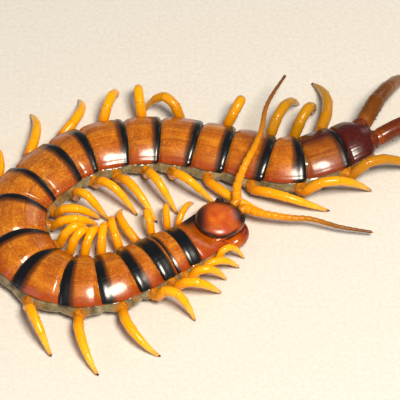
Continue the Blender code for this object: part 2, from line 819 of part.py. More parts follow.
def palp(side, material):
    """A short leg-like palp, folded forwards under the head's front."""
    joints = [head_place(forward, side * out, height) for forward, out, height in PALP_LINE]
    rings = jointed_rings(joints, PALP_RADII, HEAD_LEFT, PALP_SIDES)
    end_way = (joints[-1] - joints[-2]).normalized()
    rings.append(limb_ring(joints[-1], end_way, HEAD_LEFT, PALP_RADII[-1], PALP_SIDES))
    return solid("palp", rings, material)


def claw_root(side):
    """Where a poison claw starts, and its direction there."""
    start, following = (head_place(forward, side * out, height) for forward, out, height in CLAW_LINE[:2])
    return start, (following - start).normalized()


def jaw_base(name, material):
    """The flat plate under the head that carries the poison claws."""
    rings = [rear_ring(JAW_BASE_HALF_WIDTH * JAW_BASE_REAR, JAW_BASE_BOTTOM, JAW_BASE_TOP)]
    for forward, share in JAW_BASE_STATIONS:
        oval = squared_oval(JAW_BASE_HALF_WIDTH * share, JAW_BASE_BOTTOM, JAW_BASE_TOP)
        rings.append([head_place(forward, left, height) for left, height in oval])
    body = solid(name, rings, material)
    stubs = []
    for side in (1, -1):
        start, way = claw_root(side)
        forward, out = CLAW_STUB_ROOT
        inside = head_place(forward, side * out, CLAW_LINE[0][2])
        rings = [
            limb_ring(inside, HEAD_LEFT * side, UP, CLAW_RADII[0], CLAW_SIDES),
            limb_ring(start - way * GAP, way, UP, CLAW_RADII[0], CLAW_SIDES),
        ]
        stubs.append(solid("stub", rings, material))
    fuse(body, stubs)
    return body


def poison_claw(name, side, material):
    """A poison claw, curving forwards and in under the head."""
    joints = [head_place(forward, side * out, height) for forward, out, height in CLAW_LINE]
    route = Route(smooth_curve(joints))
    start, way = claw_root(side)
    shares = [k / CLAW_RINGS for k in range(CLAW_RINGS + 1)]
    rings = []
    for share in shares:
        distance = route.length * share
        radius = float(np.interp(share * (len(CLAW_RADII) - 1), range(len(CLAW_RADII)), CLAW_RADII))
        onward = route.direction(distance, CLAW_SPAN)
        rings.append(limb_ring(route.at(distance), onward, UP, radius, CLAW_SIDES))
    rings[0] = limb_ring(start, way, UP, CLAW_RADII[0], CLAW_SIDES)
    return solid(name, rings, material)


def ball(name, centre, lengths, turn, finesse, material):
    """An egg-shaped solid with these half-lengths, turned about the vertical."""
    mesh = bpy.data.meshes.new(name)
    shape = bmesh.new()
    where = Matrix.Translation((centre + SHIFT) * MM)
    size = Matrix.Diagonal((*(length * MM for length in lengths), 1.0))
    bmesh.ops.create_icosphere(
        shape, subdivisions=finesse, radius=1.0, matrix=where @ Matrix.Rotation(turn, 4, "Z") @ size
    )
    shape.to_mesh(mesh)
    shape.free()
    mesh.materials.append(material)
    body = bpy.data.objects.new(name, mesh)
    bpy.context.scene.collection.objects.link(body)
    return body


def eye_mound(name, side, grown, material):
    """The low mound on the head plate's shoulder that carries one side's eyes, or its pit when grown."""
    forward, out = EYE_PLACE
    centre = head_place(forward, side * out, plate_height(forward) + EYE_HEIGHT)
    lengths = [length + grown for length in EYE_MOUND]
    turn = radians(HEAD_TURN - side * EYE_TURN)
    return ball(name, centre, lengths, turn, EYE_FINESSE, material)


def eyes(name, side, material):
    """Four simple eyes, close together on their mound."""
    mound = eye_mound(name, side, 0.0, material)
    turn = radians(HEAD_TURN - side * EYE_TURN)
    length_way = Vector((cos(turn), sin(turn), 0.0))
    width_way = UP.cross(length_way)
    forward, out = EYE_PLACE
    centre = head_place(forward, side * out, plate_height(forward) + EYE_HEIGHT)
    lenses = []
    for along_mound, over_mound in EYE_LENSES:
        spot = centre + length_way * along_mound + width_way * (side * over_mound) + UP * EYE_LENS_HEIGHT
        lenses.append(ball("lens", spot, [EYE_LENS_RADIUS] * 3, turn, 1, material))
    fuse(mound, lenses)
    return mound


def main():
    for old in list(bpy.data.objects):
        bpy.data.objects.remove(old)
    finishes = [finish(name) for name in FINISHES]
    plate_finish, head_finish, claw_finish, leg_finish, last_finish, feeler_finish, eye_finish = finishes

    segments = all_segments()
    made = []
    for start in range(0, len(segments), SEGMENTS_IN_A_NODE):
        group = segments[start : start + SEGMENTS_IN_A_NODE]
        made.append(trunk_length(f"trunk_{start // SEGMENTS_IN_A_NODE + 1}", group, plate_finish))
    skull = head(head_finish)
    for side, word in ((1, "left"), (-1, "right")):
        cut(skull, eye_mound("pit", side, GAP, head_finish))
        made.append(eyes(f"eyes_{word}", side, eye_finish))
        made.append(feeler(f"antenna_{word}", side, feeler_finish))
        made.append(poison_claw(f"forcipule_{word}", side, claw_finish))
        made.append(last_leg(f"leg_21_{word}", side, last_finish))
    made += [skull, jaw_base("forcipule_base", head_finish)]
    for side, word, stances in ((1, "left", LEFT_LEGS), (-1, "right", RIGHT_LEGS)):
        for segment, stance in zip(segments, stances):
            made.append(walking_leg(f"leg_{segment.number:02d}_{word}", segment, side, stance, leg_finish))
    for body in made:
        shade(body)


if __name__ == "__main__":
    main()
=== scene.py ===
"""A tiger-banded giant centipede at life size, resting in an open coil.

Lengths are in millimetres until a mesh is made, and the floor is z = 0. A place on the trunk is given by its
distance along the centreline from the neck, its distance to the animal's left of that line, and its height.
Each point of a piece carries its place on the animal and a tone, and the finishes read both to colour it.
"""

import logging
from collections.abc import Iterable, Sequence
from dataclasses import dataclass, field
from enum import Enum
from functools import cached_property
from math import copysign, cos, exp, pi, radians, sin

import bmesh
import bpy
import numpy as np
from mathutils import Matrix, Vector, noise


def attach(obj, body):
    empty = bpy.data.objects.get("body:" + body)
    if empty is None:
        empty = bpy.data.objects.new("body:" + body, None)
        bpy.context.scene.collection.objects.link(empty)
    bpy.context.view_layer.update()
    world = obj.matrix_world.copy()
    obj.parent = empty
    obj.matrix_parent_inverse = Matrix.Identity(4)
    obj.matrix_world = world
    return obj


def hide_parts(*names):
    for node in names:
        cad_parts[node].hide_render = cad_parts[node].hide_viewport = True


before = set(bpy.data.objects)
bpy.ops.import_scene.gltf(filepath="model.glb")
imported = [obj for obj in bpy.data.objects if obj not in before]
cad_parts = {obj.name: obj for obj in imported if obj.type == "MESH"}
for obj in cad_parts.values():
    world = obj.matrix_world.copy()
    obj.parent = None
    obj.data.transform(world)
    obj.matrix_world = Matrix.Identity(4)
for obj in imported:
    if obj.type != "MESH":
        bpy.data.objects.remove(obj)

MM = 0.001
UP = Vector((0.0, 0.0, 1.0))
BODY = "root"
LOG = logging.getLogger("centipede")

# How far the whole model is moved so that its box is centred over the origin.
SHIFT = Vector((-1.507, 1.538, 0.0))

# The gap that the frame leaves between two of its nodes.
GAP = 0.3

# The trunk's last segment, counted from the neck.
LAST = 21

# Over how far to each side a thin part's direction is evened out.
SHORT_SPAN = 0.3

# The angle from which an edge stays sharp.
SHARP = radians(60.0)

Triple = tuple[float, float, float]
Pairs = tuple[tuple[float, float], ...]
Stops = tuple[tuple[float, str], ...]
Stations = tuple[tuple[float, float, float, float], ...]
Socket = bpy.types.NodeSocket
Tree = bpy.types.NodeTree
Material = bpy.types.Material

# The shape of a thorn: shares of its length, with shares of its radius.
THORN: Pairs = ((0.0, 1.0), (0.25, 0.92), (0.5, 0.7), (0.75, 0.42), (0.92, 0.2), (1.0, 0.06))


class Side(Enum):
    """A side of the animal, with the sign of its distance to the left."""

    LEFT = 1
    RIGHT = -1

    @property
    def word(self) -> str:
        """The side's name in a piece's name."""
        return self.name.lower()


def smoothstep(low: float, high: float, value: float) -> float:
    """Rises smoothly from 0 at low to 1 at high, or falls when high is the smaller."""
    share = min(max((value - low) / (high - low), 0.0), 1.0)
    return share * share * (3 - 2 * share)


def bump(middle: float, width: float, value: float) -> float:
    """A bell of height 1 round a middle value."""
    return exp(-(((value - middle) / width) ** 2))


def along(pairs: Pairs, number: float) -> float:
    """Reads a value between the (number, value) pairs given for some of the numbers."""
    numbers, values = zip(*pairs)
    return float(np.interp(number, numbers, values))


def smooth_curve(points: Iterable[Sequence[float]], steps: int = 16) -> list[Vector]:
    """Draws a Catmull-Rom curve.

    Args:
        points: the places that it passes through.
        steps: how many points it has between two of them.

    Returns:
        The curve's points.
    """
    given = [Vector(point) for point in points]
    padded = [2 * given[0] - given[1], *given, 2 * given[-1] - given[-2]]
    curve = []
    for a, b, c, d in zip(padded, padded[1:], padded[2:], padded[3:]):
        for step in range(steps):
            t = step / steps
            bend = (2 * a - 5 * b + 4 * c - d) * t**2 + (3 * b - a - 3 * c + d) * t**3
            curve.append(0.5 * (2 * b + (c - a) * t + bend))
    curve.append(given[-1])
    return curve


def bezier_curve(start: Vector, first: Vector, second: Vector, end: Vector) -> list[Vector]:
    """Draws a cubic Bezier curve.

    Args:
        start: where it begins.
        first: the pull on its beginning.
        second: the pull on its end.
        end: where it ends.

    Returns:
        The curve's points.
    """
    steps = 24
    curve = []
    for step in range(steps + 1):
        t = step / steps
        u = 1 - t
        curve.append(start * u**3 + first * 3 * u * u * t + second * 3 * u * t * t + end * t**3)
    return curve


def squared(turn: float, squareness: float) -> tuple[float, float]:
    """Places a point on a rounded square.

    Args:
        turn: its angle round the middle.
        squareness: 2 for a circle, and more for flatter sides.

    Returns:
        The point's two distances from the middle.
    """
    power = 2 / squareness
    return copysign(abs(cos(turn)) ** power, cos(turn)), copysign(abs(sin(turn)) ** power, sin(turn))


class Route:
    """A line through points, measured by its length."""

    def __init__(self, points: Sequence[Vector]) -> None:
        """Measures the line through these points."""
        self.points = list(points)
        steps = [(b - a).length for a, b in zip(self.points, self.points[1:])]
        self.marks = np.concatenate(([0.0], np.cumsum(steps)))
        self.length = float(self.marks[-1])

    def at(self, distance: float) -> Vector:
        """The point this far along, going straight on past either end."""
        found = int(np.searchsorted(self.marks, distance)) - 1
        first = min(max(found, 0), len(self.points) - 2)
        share = (distance - self.marks[first]) / (self.marks[first + 1] - self.marks[first])
        return self.points[first] + (self.points[first + 1] - self.points[first]) * float(share)

    def direction(self, distance: float, span: float = 0.8) -> Vector:
        """The direction of travel there, evened out over a short span."""
        return (self.at(distance + span) - self.at(distance - span)).normalized()


def limb_ring(centre: Vector, way: Vector, across: Vector, radius: float, sides: int) -> list[Vector]:
    """Places points round a limb, square to its direction.

    Args:
        centre: the ring's middle.
        way: the limb's direction there.
        across: a direction roughly square to it, which the ring's first axis follows.
        radius: the ring's radius.
        sides: how many points it has.

    Returns:
        The points.
    """
    side = (across - way * across.dot(way)).normalized()
    upright = side.cross(way)
    turns = [2 * pi * (k + 0.5) / sides for k in range(sides)]
    return [centre + (side * cos(turn) + upright * sin(turn)) * radius for turn in turns]


def swept(line: Route, shape: Pairs, across: Vector, radius: float, sides: int) -> list[list[Vector]]:
    """Places rings along a line.

    Args:
        line: the line through their middles.
        shape: where each ring is, as a share of the line, with its share of the radius.
        across: a direction roughly square to the line, which each ring's first axis follows.
        radius: the full radius.
        sides: how many points a ring has.

    Returns:
        The rings.
    """
    rings = []
    for share, width in shape:
        distance = line.length * share
        way = line.direction(distance, SHORT_SPAN)
        rings.append(limb_ring(line.at(distance), way, across, radius * width, sides))
    return rings


@dataclass
class Surface:
    """The points and faces of a piece while it is built. Each point has a place on the animal and a tone."""

    name: str
    points: list[Vector] = field(default_factory=list)
    places: list[Triple] = field(default_factory=list)
    tones: list[Triple] = field(default_factory=list)
    faces: list[tuple[int, ...]] = field(default_factory=list)
    slots: list[int] = field(default_factory=list)

    def skin(
        self,
        rings: Sequence[Sequence[Vector]],
        places: Sequence[Sequence[Triple]] | Sequence[Triple],
        tone: Triple = (0.0, 0.0, 0.0),
        slot: int = 0,
    ) -> None:
        """Adds a closed body whose skin joins each ring of points to the next.

        Args:
            rings: the rings, all with the same number of points.
            places: the place on the animal of each of their points, or one for each ring.
            tone: the tone of the whole body.
            slot: which of the piece's finishes it wears.
        """
        start, count = len(self.points), len(rings[0])
        for ring, marks in zip(rings, places):
            self.points.extend(ring)
            self.places.extend([marks] * count if np.ndim(marks) == 1 else marks)
            self.tones.extend([tone] * count)
        before = len(self.faces)
        for row in range(start, start + (len(rings) - 1) * count, count):
            for k in range(count):
                following = (k + 1) % count
                self.faces.append((row + k, row + following, row + following + count, row + k + count))
        last = start + (len(rings) - 1) * count
        self.faces.append(tuple(range(start + count - 1, start - 1, -1)))
        self.faces.append(tuple(range(last, last + count)))
        self.slots.extend([slot] * (len(self.faces) - before))

    def spike(
        self, root: Vector, tip: Vector, radius: float, lean: Vector, slot: int = 0, sides: int = 8
    ) -> None:
        """Adds a curved, pointed thorn.

        Args:
            root: the middle of its base.
            tip: where it ends.
            radius: its half-width at the base.
            lean: how far its middle bows aside.
            slot: which of the piece's finishes it wears.
            sides: how many points go round it.
        """
        rings, places = [], []
        across = lean if lean.length > 0.01 else UP.cross(tip - root) + Vector((0.001, 0.0, 0.0))
        for share, width in THORN:
            # The lean bows the middle as a parabola that is 1 halfway along.
            centre = root.lerp(tip, share) + lean * (4 * share * (1 - share))
            way = (tip - root + lean * (4 - 8 * share)).normalized()
            rings.append(limb_ring(centre, way, across.cross(way), radius * width, sides))
            places.append((share, share, 1.0))
        self.skin(rings, places, slot=slot)

    def ball(self, centre: Vector, axes: Sequence[Vector], slot: int = 0, sides: int = 20) -> None:
        """Adds an egg-shaped body.

        Args:
            centre: its middle.
            axes: its three half-lengths as vectors.
            slot: which of the piece's finishes it wears.
            sides: how many points go round it, an even number.
        """
        long, wide, high = axes
        rings, places = [], []
        turns = [2 * pi * k / sides for k in range(sides)]
        for row in range(1, sides):
            polar = pi * row / sides
            level = centre + high * cos(polar)
            rings.append([level + (long * cos(turn) + wide * sin(turn)) * sin(polar) for turn in turns])
            places.append((cos(polar), 0.5, 0.0))
        self.skin(rings, places, slot=slot)

    def piece(self, finishes: Sequence[Material], replaced: Sequence[str] = ()) -> None:
        """Makes the object, and hands it to the frame.

        Args:
            finishes: the materials that its faces' slots count.
            replaced: the frame's nodes that it stands for.
        """
        mesh = bpy.data.meshes.new(self.name)
        mesh.from_pydata([(point + SHIFT) * MM for point in self.points], [], self.faces)
        shape = bmesh.new()
        shape.from_mesh(mesh)
        bmesh.ops.recalc_face_normals(shape, faces=shape.faces)
        shape.to_mesh(mesh)
        shape.free()
        for name, values in (("place", self.places), ("tone", self.tones)):
            mesh.attributes.new(name, "FLOAT_VECTOR", "POINT").data.foreach_set("vector", np.ravel(values))
        for finish in finishes:
            mesh.materials.append(finish)
        mesh.polygons.foreach_set("material_index", self.slots)
        mesh.shade_smooth()
        mesh.set_sharp_from_angle(angle=SHARP)
        made = bpy.data.objects.new(self.name, mesh)
        bpy.context.scene.collection.objects.link(made)
        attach(made, BODY)
        if replaced:
            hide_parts(*replaced)
        LOG.info("%s: %d faces", self.name, len(self.faces))


def linear(code: str) -> tuple[float, float, float, float]:
    """Turns an sRGB hex colour into the linear one that a shader takes.

    Args:
        code: the colour, such as "#CC7010".

    Returns:
        Red, green, blue and an alpha of 1.
    """
    shares = [int(code[k : k + 2], 16) / 255 for k in (1, 3, 5)]
    red, green, blue = (s / 12.92 if s <= 0.04045 else ((s + 0.055) / 1.055) ** 2.4 for s in shares)
    return red, green, blue, 1.0


def add_node(tree: Tree, kind: str, links: dict, output: int = 0, **settings: object) -> Socket:
    """Adds a shader node with its settings and links.

    Args:
        tree: the material's node tree.
        kind: the node's type, without the ShaderNode that Blender puts before it.
        links: what each input gets, by name or number: a socket to link, or a value.
        output: which of its outputs to hand back.
        settings: the node's own properties. A ramp's stops are given as (position, colour) pairs.

    Returns:
        The output's socket.
    """
    node = tree.nodes.new("ShaderNode" + kind)
    stops = settings.pop("stops", ())
    if stops:
        elements = node.color_ramp.elements
        elements.remove(elements[1])
        elements[0].position, elements[0].color = stops[0][0], linear(stops[0][1])
        for position, colour in stops[1:]:
            elements.new(position).color = linear(colour)
    for name, value in settings.items():
        setattr(node, name, value)
    for key, value in links.items():
        if isinstance(value, Socket):
            tree.links.new(value, node.inputs[key])
        else:
            node.inputs[key].default_value = value
    return node.outputs[output]


@dataclass(frozen=True)
class Rise:
    """A smooth rise in a material: a value, where it starts, where it is full, and how high it then is."""

    value: Socket
    start: Socket | float
    full: Socket | float
    most: float = 1.0


@dataclass(frozen=True)
class Tint:
    """A colour laid over a surface where one part of its points' places rises, or else a noise's blotches."""

    code: str
    start: float
    full: float
    most: float = 1.0
    part: int = 0
    blotch: float = 0.0


@dataclass(frozen=True)
class Finish:
    """A surface of the animal: blotches in a few shades with tints over them. Its kinds add other colours.

    Every one is cuticle, which is chitin hardened like horn and waxed on its outside. The wax gives a clear,
    sharp gloss over a softer one, and the chitin a faint grain. Blotches and grain are in millimetres.
    """

    name: str
    rough: float = 0.32
    rough_spread: float = 0.10
    wax: float = 0.5
    wax_rough: float = 0.12
    sheen: float = 0.12
    index: float = 1.5
    mottle: float = 1.4
    grain: float = 0.18
    grain_depth: float = 0.010
    stops: Stops = ()
    tints: tuple[Tint, ...] = ()

    def noise_of(self, tree: Tree, size: float, detail: float = 3.0) -> Socket:
        """A noise whose blotches are this many millimetres wide, with this many finer layers."""
        where = add_node(tree, "TexCoord", {}, 3)
        return add_node(tree, "TexNoise", {"Vector": where, "Scale": 1 / (size * MM), "Detail": detail})

    def read(self, tree: Tree, attribute: str) -> tuple[Socket, Socket, Socket]:
        """The three values that each point carries under this name."""
        vector = add_node(tree, "Attribute", {}, 1, attribute_name=attribute)
        parts = add_node(tree, "SeparateXYZ", {0: vector}).node.outputs
        return parts[0], parts[1], parts[2]

    def apart(self, tree: Tree, value: Socket, middle: float) -> Socket:
        """How far a value lies from a middle one, on either side."""
        beside = add_node(tree, "Math", {0: value, 1: middle}, operation="SUBTRACT")
        return add_node(tree, "Math", {0: beside}, operation="ABSOLUTE")

    def mask(self, tree: Tree, *parts: Rise | Socket) -> Socket:
        """Multiplies shares of a surface.

        Args:
            tree: the material's node tree.
            parts: the shares, each as a smooth rise or as a value of its own.

        Returns:
            Their product.
        """
        shown = None
        for part in parts:
            if isinstance(part, Rise):
                links = {"Value": part.value, "From Min": part.start, "From Max": part.full}
                links["To Max"] = part.most
                part = add_node(tree, "MapRange", links, interpolation_type="SMOOTHSTEP")
            if shown is not None:
                part = add_node(tree, "Math", {0: shown, 1: part}, operation="MULTIPLY")
            shown = part
        return shown

    def tinted(self, tree: Tree, body: Socket, tint: Socket | str, *parts: Rise | Socket) -> Socket:
        """Lays a colour over the surface.

        Args:
            tree: the material's node tree.
            body: the colour so far.
            tint: the colour laid over it, as a socket or a hex code.
            parts: the shares whose product says how much of it shows.

        Returns:
            The new colour.
        """
        over = linear(tint) if isinstance(tint, str) else tint
        return add_node(tree, "Mix", {0: self.mask(tree, *parts), 6: body, 7: over}, 2, data_type="RGBA")

    def laid(self, tree: Tree, body: Socket) -> Socket:
        """Lays the tints over the surface in turn.

        Args:
            tree: the material's node tree.
            body: the colour so far.

        Returns:
            The new colour.
        """
        for tint in self.tints:
            value = self.noise_of(tree, tint.blotch) if tint.blotch else self.read(tree, "place")[tint.part]
            body = self.tinted(tree, body, tint.code, Rise(value, tint.start, tint.full, tint.most))
        return body

    def colour(self, tree: Tree, mottle: Socket) -> Socket:
        """The surface's colour, from the value of its broad blotches."""
        return self.laid(tree, add_node(tree, "ValToRGB", {0: mottle}, stops=self.stops))

    def build(self) -> Material:
        """Makes the material.

        Returns:
            The material.
        """
        material = bpy.data.materials.new(self.name)
        material.use_nodes = True
        tree = material.node_tree
        shader = tree.nodes["Principled BSDF"]
        mottle = self.noise_of(tree, self.mottle)
        tree.links.new(self.colour(tree, mottle), shader.inputs["Base Color"])
        spread = {"Value": self.noise_of(tree, self.mottle * 0.6), "From Min": 0.3, "From Max": 0.7}
        spread |= {"To Min": self.rough - self.rough_spread, "To Max": self.rough + self.rough_spread}
        tree.links.new(add_node(tree, "MapRange", spread), shader.inputs["Roughness"])
        grain = self.noise_of(tree, self.grain, 4.0)
        raised = {"Strength": 1.0, "Distance": self.grain_depth * MM, "Height": grain}
        tree.links.new(add_node(tree, "Bump", raised), shader.inputs["Normal"])
        shader.inputs["IOR"].default_value = self.index
        shader.inputs["Specular IOR Level"].default_value = self.sheen
        shader.inputs["Coat Weight"].default_value = self.wax
        shader.inputs["Coat Roughness"].default_value = self.wax_rough
        return material


@dataclass(frozen=True)
class BandedPlate(Finish):
    """A back plate: orange horn whose rear is black, redder towards its sides, with two dark sutures.

    A point's place is how far across the plate, along it and down the trunk it lies. The plate's tone is the
    share of its length at which the black begins, how black that is, and how maroon the whole plate is.
    """

    suture: float = 0.34
    pore: float = 0.34
    # Where the plates with painted wrinkle highlights lie, as a share of the trunk.
    bend: float = 0.52
    wrinkle: float = 1.0
    streaks: Triple = (9.0, 0.9, 60.0)
    maroon_stops: Stops = ((0.3, "#350A05"), (0.7, "#56140A"))

    def horn(self, tree: Tree, mottle: Socket, number: Socket) -> Socket:
        """The plain horn with its pores, growth lines and wrinkles.

        Args:
            tree: the material's node tree.
            mottle: the value of its broad blotches.
            number: how far down the trunk the plate is.

        Returns:
            The colour.
        """
        body = add_node(tree, "ValToRGB", {0: mottle}, stops=self.stops)
        # Fine dark pores in the horn, and pale flecks that are partly its grain and partly painted glints,
        # make it look satiny instead of smooth.
        fleck = self.noise_of(tree, self.pore, 2.0)
        body = self.tinted(tree, body, "#6E2E04", Rise(fleck, 0.47, 0.3, 0.4))
        body = self.tinted(tree, body, "#EBA63C", Rise(fleck, 0.53, 0.74, 0.36))
        # Growth lines along the plate: faint streaks, drawn coarser than the real ones so that they show.
        place = add_node(tree, "Attribute", {}, 1, attribute_name="place")
        drawn = add_node(tree, "Mapping", {"Vector": place, "Scale": self.streaks})
        line = add_node(tree, "TexNoise", {"Vector": drawn, "Scale": 1.0, "Detail": 2.0})
        body = self.tinted(tree, body, "#A2480A", Rise(line, 0.5, 0.72, 0.28))
        body = self.tinted(tree, body, "#E8A02C", Rise(line, 0.5, 0.3, 0.28))
        across, _, _ = self.read(tree, "place")
        body = self.tinted(tree, body, "#942F04", Rise(self.apart(tree, across, 0.0), 0.62, 0.95, 0.8))
        # Painted highlights of hair-fine wrinkles, as golden scribbles on the plates in the bend.
        painted_wrinkle_glint = Rise(self.apart(tree, self.noise_of(tree, self.wrinkle, 1.0), 0.5), 0.022, 0.004, 0.36)
        bent = Rise(self.apart(tree, number, self.bend), 0.13, 0.07)
        body = self.tinted(tree, body, "#F0B850", painted_wrinkle_glint, bent)
        # The collar, which is the first plate, is redder than the plates behind it.
        return self.tinted(tree, body, "#A83A06", Rise(number, 0.07, 0.05, 0.55))

    def colour(self, tree: Tree, mottle: Socket) -> Socket:
        """The plate's colour from its places across and along it.

        Args:
            tree: the material's node tree.
            mottle: the value of its broad blotches.

        Returns:
            The colour.
        """
        across, lengthwise, number = self.read(tree, "place")
        start, strength, maroon = self.read(tree, "tone")
        body = self.horn(tree, mottle, number)
        # The plate's own maroon covers the whole plate where its tone is full. Where it is partly maroon,
        # painted shade deepens the maroon towards the right side, which faces away from the lamps.
        deep = add_node(tree, "ValToRGB", {0: self.noise_of(tree, 0.6)}, stops=self.maroon_stops)
        far = {0: self.mask(tree, Rise(across, 0.15, -0.8, 2.4)), 1: maroon, 2: maroon}
        far = add_node(tree, "Math", far, operation="MULTIPLY_ADD", use_clamp=True)
        body = self.tinted(tree, body, deep, far)
        # The sutures are on all plates but the first two.
        beside = self.apart(tree, self.apart(tree, across, 0.0), self.suture)
        body = self.tinted(tree, body, "#4A2006", Rise(beside, 0.014, 0.004, 0.45), Rise(number, 0.10, 0.14))
        # The black band's edge wavers, and the horn in front of it is smoky.
        waver = {"Value": mottle, "From Min": 0.3, "From Max": 0.7, "To Min": -0.016, "To Max": 0.016}
        place = add_node(tree, "Math", {0: lengthwise, 1: add_node(tree, "MapRange", waver)})
        early = add_node(tree, "Math", {0: start, 1: 0.10}, operation="SUBTRACT")
        late = add_node(tree, "Math", {0: start, 1: 0.06})
        body = self.tinted(tree, body, "#43200A", Rise(place, early, start, 0.9), strength)
        body = self.tinted(tree, body, "#090A0D", Rise(place, start, late), strength)
        # Painted shadow of the head plate on the collar, on its left side and towards its front.
        painted_collar_shadow = Rise(across, 0.2, 0.85), Rise(lengthwise, 0.85, 0.4), Rise(number, 0.07, 0.05)
        body = self.tinted(tree, body, "#1E0F0A", *painted_collar_shadow)
        return self.tinted(tree, body, "#0B0806", Rise(lengthwise, 0.975, 0.99, 0.8))


@dataclass(frozen=True)
class HeadShell(Finish):
    """The head's shell: red-orange horn with fine punctures, darker round its rear rim, with painted shade
    over its front and at its rear left.

    Its place is how far forward, to the left and out from the plate's middle a point is.
    """

    puncture: float = 0.3

    def colour(self, tree: Tree, mottle: Socket) -> Socket:
        """The shell's colour from its places.

        Args:
            tree: the material's node tree.
            mottle: the value of its broad blotches.

        Returns:
            The colour.
        """
        forward, aside, spread = self.read(tree, "place")
        body = add_node(tree, "ValToRGB", {0: mottle}, stops=self.stops)
        puncture = self.noise_of(tree, self.puncture, 2.0)
        body = self.tinted(tree, body, "#6A1E04", Rise(puncture, 0.47, 0.3, 0.35))
        waver = add_node(tree, "Math", {0: mottle, 1: 0.2, 2: -0.1}, operation="MULTIPLY_ADD")
        out = add_node(tree, "Math", {0: spread, 1: waver})
        body = self.tinted(tree, body, "#962C04", Rise(out, 0.4, 0.85, 0.6))
        # Painted shade where the dome faces away from the lamps, at the rear left and over the front, and a
        # darker band round the rear rim.
        beside = add_node(tree, "Math", {0: aside, 1: forward}, operation="SUBTRACT")
        beside = add_node(tree, "Math", {0: beside, 1: waver})
        painted_shade_and_dark_rim = self.mask(tree, Rise(beside, 0.45, 1.15), Rise(out, 0.3, 0.6))
        for more in (
            (Rise(forward, 0.05, 0.55), Rise(out, 0.35, 0.8)),
            (Rise(forward, 0.4, -0.2), Rise(out, 0.9, 0.97, 0.95)),
        ):
            painted_shade_and_dark_rim = add_node(tree, "Math", {0: painted_shade_and_dark_rim, 1: self.mask(tree, *more)}, operation="MAXIMUM")
        return self.tinted(tree, body, "#1C0D09", painted_shade_and_dark_rim)


@dataclass(frozen=True)
class LimbHorn(Finish):
    """The horn of a jointed limb: its colour runs through its stops from the root to the tip.

    A point's place is how far along the limb and along its article it lies. The limb's tone is how olive, how
    dark amber and how red-brown it is. The tints are faint blotches and a dark hinge at each article's end.
    """

    tone_codes: tuple[str, ...] = ("#94700F", "#7A3E0C", "#5A1A0A")
    tints: tuple[Tint, ...] = (
        Tint("#B86408", 0.54, 0.75, 0.25, blotch=0.7), Tint("#8A4A06", 0.95, 0.99, 0.5, part=1),
    )

    def colour(self, tree: Tree, mottle: Socket) -> Socket:
        """The limb's colour from its places along the limb and along each article.

        Args:
            tree: the material's node tree.
            mottle: the value of its broad blotches.

        Returns:
            The colour.
        """
        run, _, _ = self.read(tree, "place")
        waver = add_node(tree, "Math", {0: mottle, 1: 0.16, 2: -0.08}, operation="MULTIPLY_ADD")
        body = add_node(tree, "ValToRGB", {0: add_node(tree, "Math", {0: run, 1: waver})}, stops=self.stops)
        for share, code in zip(self.read(tree, "tone"), self.tone_codes):
            body = self.tinted(tree, body, code, share)
        return self.laid(tree, body)


def shades(low: float, *codes: str) -> Stops:
    """Spreads colours evenly over a noise's middle levels, from low to 1 - low."""
    gap = (1 - 2 * low) / (len(codes) - 1)
    return tuple((low + gap * k, code) for k, code in enumerate(codes))


